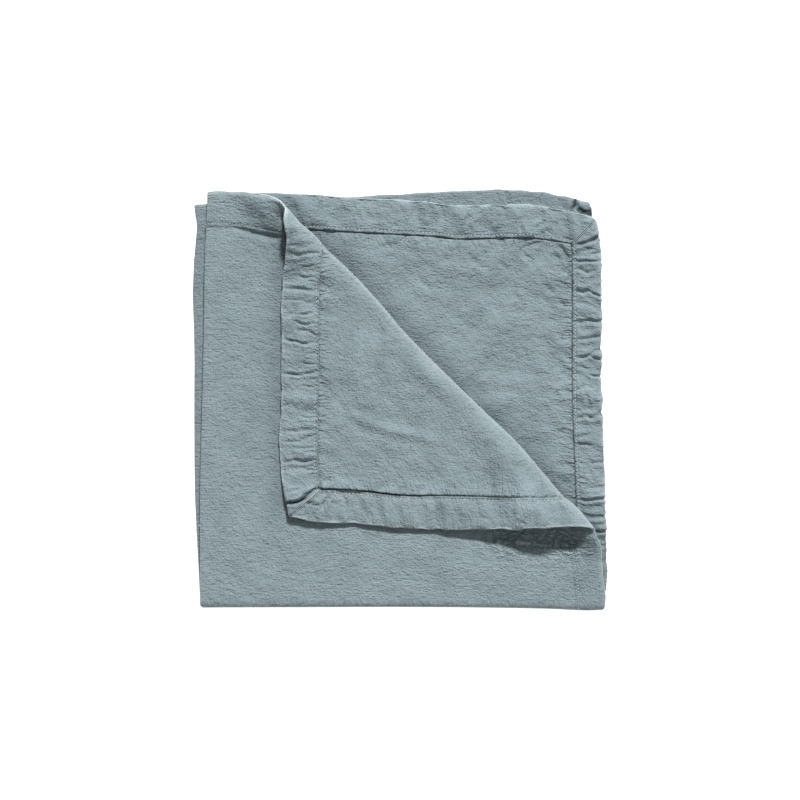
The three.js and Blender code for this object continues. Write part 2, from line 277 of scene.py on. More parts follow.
# Creases, given in plan: depth, half width, and the points that each runs through
CREASES = {
    "flap": (
        (0.25, 0.8, (-69.7, 95.9), (-64.7, 96.2)),
        (0.45, 1.1, (-70.3, 90.3), (-62.2, 90.3), (-57.2, 90.8), (-51.6, 90.6)),
        (0.3, 0.8, (-64.7, 88.8), (-59.7, 89.4)),
        (0.45, 0.6, (-59.7, 82.8), (-56.6, 82.4), (-53.4, 83.4)),
        (0.25, 0.8, (-70.9, 79.4), (-67.2, 79.4)),
        (0.45, 0.9, (-62.2, 76.6), (-58.4, 75.6), (-52.2, 76.2)),
        (0.35, 0.6, (-58.4, 74.1), (-52.2, 73.4)),
        (0.5, 1.1, (-72.2, 68.8), (-66.6, 68.4), (-59.7, 68.1), (-55.9, 67.2), (-52.2, 66.9)),
        (0.3, 0.8, (-72.2, 61.1), (-65.9, 61.6), (-60.3, 61.6)),
        (0.25, 0.8, (-59.1, 60), (-53.4, 59.4)),
        (0.45, 1.4, (-71.6, 50.3), (-68.4, 51.9), (-65.3, 53.8)),
        (0.65, 0.7, (-62.2, 52.5), (-57.8, 52.5), (-53.4, 54.1)),
        (0.65, 0.7, (-65.3, 49.4), (-62.8, 47.2), (-58.4, 45.9), (-53.4, 47.5)),
        (0.25, 0.8, (-64.1, 42.5), (-57.2, 42.2)),
        (0.3, 0.6, (-56.6, 41.9), (-52.2, 40)),
        (0.65, 0.8, (-72.2, 37.5), (-69.1, 36.2), (-64.1, 35.9),
         (-59.7, 34.1), (-55.9, 34.7), (-52.2, 36.2)),
        (0.35, 0.6, (-58.4, 27.8), (-55.3, 28.1), (-51.6, 28.8)),
        (0.25, 0.7, (-72.2, 27.5), (-68.4, 26.9)),
        (0.5, 0.6, (-60.3, 22.5), (-56.6, 21.6), (-51.6, 21.6)),
        (0.8, 0.8, (-72.2, 15.3), (-67.8, 15.6), (-62.2, 14.7),
         (-58.4, 15.6), (-55.9, 15.9), (-51.6, 17.2)),
        (0.35, 0.6, (-55.9, 12.5), (-51.6, 12.2)),
        (0.45, 0.6, (-60.3, 8.1), (-57.2, 7.8), (-53.4, 7.2)),
        (0.35, 2.6, (-72.2, 5.6), (-62.2, 5), (-53.4, 3.8)),
        (0.3, 0.6, (-55.3, 2.5), (-51.6, 2.2)),
        (0.2, 1, (-72.2, -4.4), (-69.1, -3.8)),
        (0.45, 0.6, (-62.2, -10.9), (-57.2, -11.9), (-51.6, -11.9)),
        (0.4, 1, (-72.8, -20.3), (-63.4, -20), (-59.7, -19.4), (-53.4, -19.4)),
        (0.5, 0.8, (-72.8, -26.9), (-62.2, -26.6), (-57.8, -24.4), (-52.8, -22.2)),
        (0.35, 0.7, (-64.7, -31.2), (-60.3, -30.9), (-52.8, -30.3)),
        (0.3, 0.6, (-59.7, -33.1), (-52.8, -32.8)),
        (0.65, 0.9, (-72.8, -39.7), (-67.2, -38.8), (-64.1, -38.1),
         (-62.2, -39.7), (-58.4, -39.1), (-52.8, -37.5)),
        (0.35, 0.6, (-57.8, -44.4), (-52.8, -44.1)),
        (0.25, 1.6, (-72.2, -43.8), (-62.2, -43.1), (-53.4, -42.8)),
        (0.3, 0.9, (-69.7, -58.1), (-65.9, -56.9), (-60.9, -56.2)),
        (1.3, 0.9, (-73.5, -64.9), (-64.1, -64.4), (-59.1, -61.9), (-55.3, -58.1), (-50.3, -55)),
        (0.9, 0.8, (-58.4, -64.4), (-54.7, -64.4), (-51.6, -66.2), (-49.7, -65.6)),
        (0.8, 1.2, (-48.4, -67.5), (-46.6, -65), (-44.1, -61.2)),
        (0.6, 0.7, (-43, -63.4), (-40.6, -65.2), (-37, -64.6)),
        (-0.4, 2.4, (-30.9, -9.4), (-10.9, -18.1), (6.6, -21.9), (24, -26)),
        (0.25, 1, (-59.1, -71.9), (-56.6, -71.9)),
        (0.25, 1.2, (-34.1, -63.1), (-33.4, -73.8)),
        (0.2, 1.2, (-17.2, -65), (-17.8, -76.9)),
        (0.2, 1.6, (-0.9, -64.4), (0.3, -78.1)),
        (0.25, 1.2, (22.8, -65), (21.6, -76.9)),
        (0.3, 0.7, (35.9, -72.8), (40.9, -73.1)),
        (0.25, 1.4, (48.4, -63.1), (49.1, -73.1)),
        (0.25, 1.6, (59.1, -64.4), (59.7, -73.1)),
        (0.45, 0.6, (50.3, -74.4), (57.8, -75)),
        (0.55, 0.7, (72.8, -76.2), (76.6, -76.6), (79.1, -78.8)),
        (0.25, 1.6, (69.1, -64.4), (70.3, -73.1)),
        (0.25, 1.4, (88.4, -64.4), (89.7, -75.6)),
        (0.2, 1.4, (97.8, -63.1), (99.7, -73.1)),
        (0.35, 0.9, (64.7, -40), (70.3, -40.6), (76.6, -41.9), (80.3, -40)),
        (0.25, 1, (-46.6, -21.2), (-42.2, -27.5)),
        (0.3, 0.8, (-50.3, 16.2), (-48.4, 11.9), (-47.2, 6.9), (-43.4, 3.1)),
        (0.25, 0.8, (-49.7, -9.4), (-45.9, -6.2)),
        (0.25, 0.8, (-48.4, -11.9), (-44.7, -16.9)),
        (0.5, 0.8, (-12.5, -57.5), (-10.2, -54.6), (-6.8, -52.8)),
        (0.45, 0.8, (-2, -59.4), (0.8, -56.2), (4.2, -55.6)),
        (0.4, 0.8, (-33.5, -56.8), (-31.2, -54.2)),
        (0.4, 0.8, (9.5, -59), (12.8, -56), (16.6, -55.2)),
        (0.35, 0.8, (26, -60), (29, -57.4)),
    ),
    "second": (
        (0.9, 1, (107.8, 95), (112.8, 96.2), (116.6, 97.2), (120.3, 98.8), (124.7, 101.9)),
        (0.45, 0.8, (119.1, 90), (124.7, 90.9)),
        (0.65, 0.8, (108.4, 86.2), (112.2, 85.6), (115.9, 85.9), (120.3, 85.6), (125.3, 85.6)),
        (0.55, 1, (109.1, 81.2), (113.4, 80.6), (115.3, 78.8), (117.8, 78.4), (120.9, 80.3)),
        (0.25, 1, (117.8, 73.8), (121.6, 75)),
        (0.7, 1.1, (110.3, 67.2), (114.7, 66.6), (118.4, 68.1)),
        (0.65, 0.7, (119.1, 66.2), (122.2, 65), (125.9, 63.4)),
        (0.3, 0.9, (123.4, 69.4), (125.9, 71.2)),
        (0.4, 0.9, (110.3, 59.7), (114.7, 59.7), (117.8, 58.4)),
        (0.65, 1, (109.1, 47.5), (113.4, 47.8), (117.8, 48.8), (121.6, 48.1), (125.9, 48.4)),
        (0.45, 1.1, (109.1, 36.2), (114.1, 37.2), (119.1, 37.8), (125.9, 39.4)),
        (0.65, 0.9, (110.3, 25.6), (115.3, 25.9), (118.4, 27.5), (121.6, 29.7), (126.6, 31.9)),
        (0.5, 0.8, (119.7, 26.2), (122.8, 25), (126.6, 24.4)),
        (0.4, 1.1, (110.3, 20.6), (114.7, 19.4), (117.8, 18.1)),
        (0.65, 0.7, (117.8, 15.3), (120.9, 14.1), (126.6, 14.1)),
        (0.6, 0.7, (117.8, 13.8), (116.6, 10), (114.1, 7.2), (110.3, 5)),
        (0.45, 0.8, (116.6, 3.1), (117.2, -1.2), (118.4, -3.8)),
        (0.65, 1, (109.7, -11.6), (113.4, -11.6), (116.6, -10.3),
         (117.8, -11.6), (120.3, -11.9), (122.8, -10), (126.6, -8.1)),
        (0.25, 1.2, (117.2, -3.8), (117.2, -9.4)),
        (0.35, 1.1, (109.1, -23.1), (112.8, -23.8), (119.1, -21.9)),
        (0.45, 0.9, (110.3, -28.1), (114.7, -28.4), (120.3, -28.8)),
        (0.45, 0.9, (118.4, -40), (127.2, -39.4)),
        (0.3, 0.9, (110.9, -40), (115.3, -40.6)),
        (0.3, 1, (117.8, -44.4), (119.1, -46.9), (120.3, -50.6)),
        (0.3, 1, (110.3, -49.4), (115.3, -49.4)),
        (0.25, 1, (119.1, -55.6), (127.2, -55)),
        (0.9, 0.9, (111.6, -62.5), (115.3, -63.4), (119.1, -63.1), (123.4, -62.5), (129.1, -61.9)),
        (0.75, 1.1, (112.2, -70.6), (116.6, -73.4), (120.9, -73.8), (129.1, -72.8)),
        (0.65, 1, (121.6, -83.1), (129.1, -82.5)),
        (0.4, 1, (125.3, -91.2), (129.1, -91.9)),
        (0.4, 1, (125.9, -101.9), (129.1, -100.6)),
        (0.65, 0.9, (84.1, 105.3), (86.6, 107.5), (90.3, 109.1)),
        (0.4, 0.9, (74.1, 111.9), (77.8, 112.5)),
        (0.5, 0.8, (112.8, 113.1), (117.8, 112.2)),
        (0.3, 1, (75.9, 106.9), (76.6, 101.9)),
        (0.3, 1.2, (90.9, 105), (95.3, 103.8)),
        (0.3, 1.2, (44.1, 116.9), (41.6, 108.1)),
        (0.3, 1.4, (25.3, 119.4), (27.2, 110.6)),
        (0.25, 1.2, (9.7, 118.1), (5.3, 108.8)),
        (0.35, 1, (-4.7, 106.9), (0.3, 109.4)),
        (0.25, 1.2, (-23.4, 121.2), (-19.7, 111.9)),
        (0.3, 1, (-37.2, 118.1), (-29.7, 116.9)),
        (0.3, 1.2, (-48.4, 124.4), (-50.9, 113.1)),
        (0.3, 1, (55.3, 108.1), (61.6, 110.6)),
        (0.25, 1.2, (100.3, 110.6), (104.1, 104.4)),
        (0.75, 0.9, (87.8, 97.8), (84.7, 95.6), (80.3, 93.8), (74.7, 92.8)),
        (0.5, 1.1, (75.3, 91.9), (79.7, 87.5), (83.4, 84.7)),
        (0.6, 0.8, (94.7, 88.8), (97.8, 88.1), (101.6, 87.8)),
        (0.7, 0.8, (99.7, 95), (102.2, 91.9), (104.1, 88.1), (105.3, 83.8)),
        (0.75, 0.8, (104.7, 78.8), (105.9, 76.2), (107.2, 72.5)),
        (0.35, 1.3, (91.6, 69.4), (93.4, 67.5), (96.6, 66.9)),
        (0.35, 0.9, (100.3, 78.1), (104.1, 79.4)),
        (0.35, 0.9, (97.8, 61.9), (104.1, 57.5)),
        (0.35, 0.9, (100.3, 36.9), (104.1, 39.4)),
        (0.35, 0.9, (99.7, 29.4), (104.7, 26.9), (106.6, 23.8)),
        (0.4, 0.8, (100.9, 4.4), (107.8, 4.1)),
        (0.3, 0.9, (97.2, 9.4), (100.3, 10)),
        (0.45, 0.8, (103.4, -17.2), (105.3, -15.9), (107.8, -13.8)),
        (0.4, 0.8, (107.2, -5), (105.9, -10)),
        (0.35, 0.9, (100.3, -20.6), (106.6, -19.4)),
        (0.35, 0.8, (104.1, -41.9), (105.9, -40)),
        (0.3, 1, (100.3, -50.6), (104.7, -53.8)),
        (0.35, 0.9, (61.6, 85.6), (66.6, 80.6)),
        (0.3, 1, (44.1, 88.1), (49.1, 83.1), (55.3, 81.9)),
        (0.3, 1, (25.3, 85.6), (32.8, 88.1)),
        (0.3, 1, (12.8, 74.4), (17.8, 68.1)),
        (0.3, 1, (65.9, 61.9), (71.6, 64.4), (75.3, 61.9)),
        (0.3, 1, (-30.9, 96.2), (-23.4, 91.9)),
        (0.3, 1, (-10.9, 94.4), (-2.2, 95.6)),
    ),
    "third": (
        (0.6, 0.9, (88.4, 128.8), (88.4, 125), (87.2, 121.9)),
        (1, 0.9, (109.1, 124.4), (107.8, 120), (106.6, 116.9)),
        (1.3, 1.2, (109.1, 124.1), (110.3, 119.4), (112.8, 116.6), (116.6, 115), (119.7, 116.9)),
        (0.3, 1.3, (49.1, 130.6), (50.3, 120.6)),
        (0.35, 1.2, (65.9, 130.6), (68.4, 121.2)),
        (0.3, 1.2, (19.1, 128.8), (17.8, 122.5)),
        (0.35, 1.2, (97.2, 128.1), (100.3, 123.1)),
        (0.4, 0.7, (-127.2, 95), (-121.6, 95.6)),
        (0.35, 0.8, (-127.8, 90.3), (-122.2, 90.6)),
        (0.25, 0.8, (-127.8, 84.4), (-122.2, 85)),
    ),
    "front": (
        (0.55, 1.3, (-102.8, 106.2), (-94.7, 103.8), (-85.9, 101.9), (-77.2, 100.6), (-70.9, 101.2)),
        (0.5, 2.4, (-89.7, 116.9), (-83.4, 114.4), (-74.7, 110.6)),
        (0.5, 0.9, (-87, 117.6), (-80, 115), (-72.5, 113.8)),
        (0.35, 0.9, (-91.6, 104.6), (-89.1, 101)),
        (0.3, 0.8, (-99.1, 90), (-92.2, 89.7)),
        (0.25, 0.9, (-89.7, 92.5), (-80.9, 93.1)),
        (0.25, 1, (-97.2, 100.6), (-92.2, 101.9)),
    ),
}

# Relief of the cloth

WRONG_SIDE_UP = ("flap", "second")
CREASE_STRENGTH = 2.2
CREASE_ENDS = 0.35  # the share of a crease's depth that is left at its ends
CREASE_END_REACH = 0.25  # of its length
CREASE_LIPS = (0.35, 2.2, 1.3)  # their share of the depth, distance and width in half widths
PANEL_CREASES = {"flap": 1.25, "second": 2.1, "front": 1.0, "third": 1.0}  # on the panels, over the hems'
SHEET_CREASE = 1.25  # the narrowest half width that the sheet's grid can show
HEM_CREASE = 0.5  # and the hems'

# Noise in layers: cell along u, cell along v, seed, share
CRUMPLE_NOISE = ((31, 26, 10, 1.4), (14, 13, 11, 0.8), (7.5, 7, 12, 0.5), (4.0, 3.8, 13, 0.4))
SIDE_PUCKERS = ((12, 4.6, 14, 1), (7, 2.9, 15, 0.5))
END_PUCKERS = ((5.0, 12, 16, 1), (3.2, 7, 17, 0.5))
OVERHANG_NOISE = ((40, 9, 18, 0.45), (40, 4, 19, 0.25))
SIDE_LINE_NOISE = ((60, 3.2, 20, 0.9),)
END_LINE_NOISE = ((3.2, 60, 21, 0.9),)

CRUMPLE = {"flap": 0.72, "second": 0.95, "front": 0.21, "third": 0.4}
PUCKER = {"flap": 0.9, "second": 1.1, "front": 0.16, "third": 0.35}
SIDE_PUCKER_REACH = 7
END_PUCKER_REACH = 6
CALM_CREST = (0.5, 9)  # from the top of the roll, where the crumples fade out
CALM_LEFT_FOLD = (1, 8)
CALM_BOTTOM_FOLD = (2, 12)

# Seen from the right side, the panel drops behind the thicker hem
STITCH_INSET = 1.75  # from a hem's inner edge
HEM_DROP = 0.6
HEM_DROP_RANGE = (-0.7, 0.6)  # inside the hem's inner edge
HEM_DROP_REACH = 6
SEAM_VALLEY = 0.45
SEAM_VALLEY_WIDTH = 0.6

# How deep the panel dips beside a hem's inner edge on the wrong side: side hem, end hem
GROOVES = {"flap": (1.0, 0.45), "second": (0.55, 0.9)}
GROOVE_AT = 0.2  # inside the hem's inner edge
SIDE_GROOVE_WIDTH = 0.7
END_GROOVE_WIDTH = 0.8
GROOVE_RIGHT = 0.45  # its share on the sheet's right side and on its wrong side
GROOVE_WRONG = 0.95

# The flap's panel bulges over its lower hem, less and less towards the roll
OVERHANG = 1.25
OVERHANG_REACH = 5.5
OVERHANG_EVEN = 0.85
OVERHANG_STEEP = (0.35, 1.1)
OVERHANG_FADE = (105, 160)  # from the corner

# The cloth's corners are a little round
CORNER_RADIUS = 3.4
FLAP_CORNER_RADIUS = 1.4

# Hems, measured in depth from the cloth's edge and in height over the middle surface

# The section at the edge, towards the wrong side; the sheet runs from -0.55 to 0.05
EDGE_PROFILE = (
    (2.4, -0.32),
    (1.5, -0.48),
    (0.8, -0.53),
    (0.3, -0.40),
    (0.03, -0.05),
    (-0.03, 0.32),
    (0.1, 0.72),
    (0.45, 1.0),
)
INNER_TOPS = (3.0, 2.5, 2.1, STITCH_INSET, 1.4, 1.0, 0.6, 0.25)  # from the inner edge
INNER_EDGE = ((0, 0.5), (0.15, 0.0), (0.6, -0.25))  # from the inner edge, height
MIDDLE_TOPS = (0.9, 4.0, 13)  # depth, distance from the inner edge, count
HIDDEN_BOTTOMS = (3.5, 3.6, 7)  # distance from the inner edge, depth, count
HIDDEN_HEIGHT = -0.28

HEM_SLACK = 0.05
HEM_CROWN = 0.25
CROWN_RISE = (0.5, 4)  # from the edge
CROWN_FALL = (2.2, 6)  # from the inner edge
HEM_EDGE_DIP = 0.16
EDGE_DIP_END = (0.6, 2.4)
HEM_VALLEY = 0.5  # at the stitches
HEM_VALLEY_WIDTH = 0.5
HEM_LIP = 0.12  # how far the hem drops towards its inner edge
LIP_RANGE = (0.6, 1.4)  # from that edge
HEM_LIP_END = 0.3  # and how much further at the very edge
LIP_END_RANGE = (0, 0.7)
HEM_MITRE_DIP = 0.45
HEM_MITRE_WIDTH = 0.6
# Cell along the hem, cell across, seed, share
HEM_LUMPS = ((9.5, 40, 31, 0.62), (5.6, 11, 41, 0.75), (2.8, 4.5, 51, 0.16))
LUMPS_FROM_EDGE = (0, 1.5)
LUMPS_FROM_SEAM = (0.4, 3)
UNSEEN_LUMPS = 0.4  # of the seen hems' unevenness, where the wrong side is underneath
LEAST_TOP = 0.2
PINCH = 0.9  # how far a low place draws the edge in
PINCH_RANGE = (-0.9, 0.3)
EDGE_DEPTH = 0.6
WAVES = ((7.5, 40, 61, 0.55),)  # of the outline, as in HEM_LUMPS
WAVES_DEPTH = 2.5

# Grid lines: from each place on, lines at about this step, as far as the next place
SHEET_INSET = 0.9
LEFT_SEAM = -U_END + SIDE_HEM
RIGHT_SEAM = U_END - SIDE_HEM
TOP_SEAM = V_END - END_HEM
TURN_STEP = TURN_HALF / 4
BEND_STEP = BEND_HALF / 5
SHEET_COLUMNS = (
    (-U_END + SHEET_INSET, 1.25),
    (LEFT_SEAM - 1, 0.53),
    (LEFT_SEAM + 2.2, 1.15),
    (-TURN_HALF - 214, 1.4),
    (-TURN_HALF - 180, 1.8),
    (-TURN_HALF - 108, 3.0),
    (-TURN_HALF - 50, 6),
    (-TURN_HALF, TURN_STEP),
    (TURN_HALF, 1.80),
    (RIGHT_SEAM - 2.2, 0.53),
    (RIGHT_SEAM + 2.6, 2.1),
    (U_END - SHEET_INSET, None),
)
SHEET_ROWS = (
    (-V_END + SHEET_INSET, 1.05),
    (-V_END + 14, 22),
    (-BEND_HALF, BEND_STEP),
    (BEND_HALF, 1.93),
    (TOP_SEAM - 2.2, 0.53),
    (TOP_SEAM + 2.6, 2.1),
    (V_END - SHEET_INSET, None),
)
FINE = 0.68  # along the seen hems
FINEST = 0.36  # near the tip of the turned corner
CORNER_STRETCH = 30
HEM_GRIDS = {
    "upper_end": (
        (-U_END, FINE), (-TURN_HALF - 50, 2.5), (-TURN_HALF, TURN_STEP), (TURN_HALF, 1.2),
        (TURN_HALF + 40, FINE), (U_END - CORNER_STRETCH, FINEST), (U_END, None),
    ),
    "lower_end": (
        (-U_END, 0.8), (-U_END + 130, 2.5), (-TURN_HALF, TURN_STEP), (TURN_HALF, 3.5), (U_END, None),
    ),
    "outer_side": (
        (-V_END, 3.5), (-BEND_HALF, BEND_STEP), (BEND_HALF, 1.0), (BEND_HALF + 40, FINE),
        (V_END - CORNER_STRETCH, FINEST), (V_END, None),
    ),
    "inner_side": ((-V_END, 3.5), (-BEND_HALF, BEND_STEP), (BEND_HALF, FINE), (V_END, None)),
}

# Stitches

STITCH_PITCH = {True: 2.4, False: 1.9}  # on the wrong side and on the right side
STITCH_LENGTH = {True: 1.5, False: 1.0}
STITCH_RADIUS = 0.33
STITCH_RISE = 0.16
STITCH_SEED = 70
STITCH_JITTER = 0.12  # along the seam
STITCH_SWAY = 0.09  # across it
STITCH_LENGTHS = (0.85, 1.1)
MITRE_THREAD_APART = 1.3
MITRE_THREAD_RADIUS = 0.27
MITRE_THREAD_RISE = 0.5
MITRE_THREAD_ENDS = (1.2, 1.0)  # from the cloth's edge and from the hem's inner edge
MITRE_THREAD_POINTS = 22
ROD_SIDES = 6
ROD_RINGS = ((-0.5, 0.0), (-0.46, 0.6), (-0.36, 0.95), (0.36, 0.95), (0.46, 0.6), (0.5, 0.0))

# Painted highlight and worn cloth: where the cloth is lighter

HIGHLIGHT_AND_WEAR_UPPER = 0.4  # on the two upper layers
HIGHLIGHT_AND_WEAR_LOWER = 0.2  # on the two lower ones
CREST_HIGHLIGHT = (0.6, 1.5)  # painted highlight past the top of the roll, where it faces the light: middle, half width
SLOPE_HIGHLIGHT = (4, 5)
SLOPE_HIGHLIGHT_SHARE = 0.25
WEAR_FOLD_SHARE = 0.5
WEAR_LEFT_FOLD = 1.6
WEAR_BOTTOM_FOLD = 2.2
# Along the edges: partly worn cloth, partly painted highlight where they catch the light
EDGE_HIGHLIGHT_AND_WEAR = 1.0
CURL_RIM = 0.95  # how much painted highlight lies on the edge along the curl, where it catches the light
CURL_RIM_AT = (52, 20)  # its middle and its half length
CURL_RIM_WIDTH = 1.4

# Gathers: how strong the fine ripples along the seams are

GATHERS = {"flap": 0.9, "second": 1.0, "front": 0.3, "third": 0.6}
GATHER_REACH = 6
GATHER_CORNER = (-4, 6)  # where they end at the other hem
HEM_GATHER = 0.13  # their share on the hem itself
HEM_GATHER_RANGE = (-2.5, 0.5)

# Painted shade: where the cloth's colour is darkened for the shade in its crevices, beside its hems and
# folds and under the flap

# Painted shade along crevices, in plan: darkness, half width, and the points that each runs through
CREVICE_SHADES = {
    "flap": (
        (1, 0.75, (-71.5, -64.4), (-67, -64.8), (-63.6, -64), (-60.8, -62.8), (-58.5, -61.4)),
        (0.7, 0.6, (-60.2, -59.4), (-57.9, -58), (-55.6, -58.3), (-53.4, -56), (-50.6, -55.2)),
        (0.95, 0.75, (-50.3, -55.2), (-47.4, -56.2), (-43.4, -55.7), (-38, -57), (-30.9, -57.5),
         (-27.2, -58), (-18.4, -57.2), (-13.4, -58.4), (-5.9, -59.4), (0.3, -60.2)),
        (0.55, 0.6, (0.3, -60.2), (2.8, -59), (5.3, -60.2), (12.8, -60.4)),
        (0.4, 0.45, (12.8, -60.4), (25.3, -61.4), (69, -62.2)),
        (0.4, 0.7, (-47.5, -62.5), (-44.4, -65.5)),
        (0.4, 0.7, (-58.4, -63.9), (-54.7, -64.6), (-51.6, -66), (-49.7, -65.4)),
    ),
    "second": (
        (0.5, 0.7, (107.8, 96), (112.8, 96.6), (116.6, 97.6), (120.3, 99.2), (124, 102.3)),
    ),
    "third": (
        (1, 1, (109.6, 124.6), (109.4, 122.2), (110.5, 119.8),
         (112.6, 117.9), (115.6, 116.8), (119.5, 117.4)),
        (1, 1.2, (113.6, 116.2), (116.5, 115.4), (119.6, 115)),
        (1, 0.9, (109.3, 123.8), (108.6, 121.3), (107.1, 118.1)),
        (0.13, 6, (-60, 127), (20, 129), (100, 125)),
        (0.12, 6, (-126, 122), (-126, -110)),
        (0.4, 1.2, (-127.5, 96), (-120.5, 96.4)),
    ),
    "front": (
        (0.85, 1.3, (-72.8, 115), (-72, 108), (-71.6, 100)),
        (0.2, 5, (-74, 118), (-76, 109), (-75, 99)),
        (0.2, 6.5, (-75, 96), (-76.5, 40), (-77.5, -30), (-76, -62)),
        (0.35, 1, (-91.6, 104.2), (-82, 102.6), (-72, 101.6)),
    ),
}

# Painted shade in softly darker places: x, y, reach along x, reach along y, darkness
SHADES = {
    "front": (
        (119, -106, 10, 30, 0.18),
        (110, -40, 6, 20, 0.1),
    ),
    "second": (
        (102, 90, 6, 4, 0.2),
        (84, 95, 6, 3, 0.18),
        (75, 91, 4, 4, 0.15),
        (91, 70, 8, 4, 0.12),
        (103, 64, 4, 7, 0.14),
        (100, 28, 6, 5, 0.12),
        (62, 83, 6, 4, 0.1),
    ),
    "flap": (
        (66, -41, 12, 3, 0.1),
        (-47, 8, 4, 8, 0.12),
        (-47, -14, 3, 6, 0.1),
    ),
}

# Darkness of the painted shade in the lines beside a side hem and an end hem, and along the stitch lines
HEM_SHADES = {
    "flap": (0.0, 0.15, 0.12),
    "second": (0.45, 0.35, 0.3),
    "front": (0.1, 0.3, 0.7),
    "third": (0.1, 0.45, 0.7),
}

HEM_SHADE_AT = 0.2  # inside the hem's inner edge
HEM_SHADE_WIDTH = 0.55
HEM_SHADE_EVEN = 0.8
# Painted shade along the mitres on the wrong side
MITRE_SHADE = {"flap": 0.0, "second": 0.9}
MITRE_SHADE_WIDTH = 0.5
MITRE_SLOPE = 0.35  # from a difference in depth to a distance from the mitre
FOLD_SHADE = 0.3  # painted shade on the second layer beside the turned corner's fold
FOLD_SHADE_REACH = 10.0

# Where the front lies crumpled in the shadow under the flap, as in SHADES; there the crumples are darkened
# with painted shade as well as given relief
CRUMPLED = (
    (80, -88, 26, 10, 1.0),
    (104, -90, 12, 10, 0.7),
)

# Colours and fine relief of the materials

LINEN_DARK = (0.143, 0.191, 0.209, 1)
LINEN_LIGHT = (0.357, 0.446, 0.477, 1)
LINEN_HIGHLIGHT_AND_WORN = (0.540, 0.620, 0.635, 1)
# The colour that painted shade mixes in
PAINTED_SHADE_COLOUR = (0.012, 0.018, 0.020, 1)
# Noise over the cloth: scale per millimetre along u and along v, detail
LINEN_NOISE = {
    "weft": (0.13, 0.9, 2),
    "warp": (0.9, 0.13, 2),
    "grain": (0.85, 0.85, 0),
    "threads": (0.4, 0.85, 0),
    "cross_threads": (0.85, 0.4, 0),
    "cloud": (0.05, 0.06, 3),
    "crumples": (0.22, 0.26, 3),
}
NOISE_ROUGHNESS = 0.55
# Sharp-bottomed ripples: the same scales, and the value at the points that they follow
LINEN_RIPPLES = {
    "creasing": (0.16, 0.2, "Crumple"),
    "side_gathers": (0.1, 0.26, "SideGather"),
    "end_gathers": (0.26, 0.1, "EndGather"),
}
RIPPLE_DETAIL = 2
RIPPLE_LEVEL = 0.055
# How much each noise counts in the colour and in the relief; in the colour, creasing is painted shade in
# the crumples under the flap
LINEN_TONE = {"creasing": 6.5, "weft": 0.25, "warp": 0.25, "grain": 0.1, "cloud": 0.62}
LINEN_RELIEF = {
    "weft": 0.42,
    "warp": 0.42,
    "grain": 0.62,
    "threads": 0.45,
    "cross_threads": 0.4,
    "crumples": 1.5,
    "side_gathers": 8.0,
    "end_gathers": 8.0,
    "creasing": 12.0,
}
LINEN_BUMP = 0.72
LINEN_SHADER = {
    "Roughness": 0.92,
    "Specular IOR Level": 0.25,
    "Sheen Weight": 0.15,
    "Sheen Roughness": 0.5,
}
THREAD_DARK = (0.30, 0.37, 0.40, 1)
THREAD_LIGHT = (0.62, 0.70, 0.72, 1)
THREAD_NOISE_SCALE = 900
THREAD_ROUGHNESS = 0.8

# Camera, lights and floor

FRAME_WIDTH = 497.8  # of the camera's view at the cloth
FRAME_CENTRE = (0.25, 0.03)
CAMERA_HEIGHT = 6000.0
CLOTH_HEIGHT = 8.0
SENSOR_WIDTH = 36.0
CLIP_END = 100.0
WORLD_STRENGTH = 0.15
# Name, direction, strength and width in degrees
SUNS = (
    ("key", (0.12, 0.76, 0.64), 3.9, 7),
    ("fill", (0.75, 0.25, 0.6), 0.42, 50),
    ("bounce", (-0.15, -0.8, 0.5), 0.32, 40),
)
FLOOR_HALF = 3.0  # in metres
FLOOR_SHADER = {
    "Base Color": (0.85, 0.85, 0.85, 1),
    "Roughness": 1.0,
    "Emission Color": (1, 1, 1, 1),
    "Emission Strength": 0.85,
}


# Curves and tables


def smoothstep(value, low=0.0, high=1.0):
    share = np.clip((value - low) / (high - low), 0, 1)
    return share * share * (3 - 2 * share)


def bump(value, centre, half_width):
    return np.exp(-(((value - centre) / half_width) ** 2))


def read(table, column, at):
    """Smooth reading of one named column of a table, whose first column rises down its rows."""
    names, *rows = table
    rows = np.array(rows, float)
    keys = rows[:, 0]
    values = rows[:, names.index(column)]
    slopes = np.gradient(values)
    slopes /= np.gradient(keys)
    low = np.clip(np.searchsorted(keys, at) - 1, 0, len(keys) - 2)
    span = keys[low + 1] - keys[low]
    share = np.clip((at - keys[low]) / span, 0, 1)
    square = share * share
    cube = square * share
    return (
        (2 * cube - 3 * square + 1) * values[low]
        + (cube - 2 * square + share) * span * slopes[low]
        + (3 * square - 2 * cube) * values[low + 1]
        + (cube - square) * span * slopes[low + 1]
    )


def spline_line(points, samples=4001):
    """A smooth line through the points, as a function of a share of its length."""
    points = np.asarray(points, float)
    count = len(points)
    at = np.linspace(0, count - 1, samples)
    low = np.minimum(at.astype(int), count - 2)
    share = (at - low)[:, None]
    start, end = points[low], points[low + 1]
    leave = (end - points[np.maximum(low - 1, 0)]) / 2
    arrive = (points[np.minimum(low + 2, count - 1)] - start) / 2
    curve = (
        (2 * start - 2 * end + leave + arrive) * share**3
        + (3 * end - 3 * start - 2 * leave - arrive) * share**2
        + leave * share
        + start
    )
    steps = np.linalg.norm(np.diff(curve, axis=0), axis=1)
    shares = np.concatenate([[0], np.cumsum(steps)]) / steps.sum()

    def place(share_of_length):
        x = np.interp(share_of_length, shares, curve[:, 0])
        y = np.interp(share_of_length, shares, curve[:, 1])
        return np.stack([x, y], axis=-1)

    return place


# The corner's roll

fold_vector = FOLD_END - FOLD_START
FOLD_LENGTH = float(np.linalg.norm(fold_vector))
FOLD_ALONG = fold_vector / FOLD_LENGTH
FOLD_OUTWARD = np.array([-FOLD_ALONG[1], FOLD_ALONG[0]])


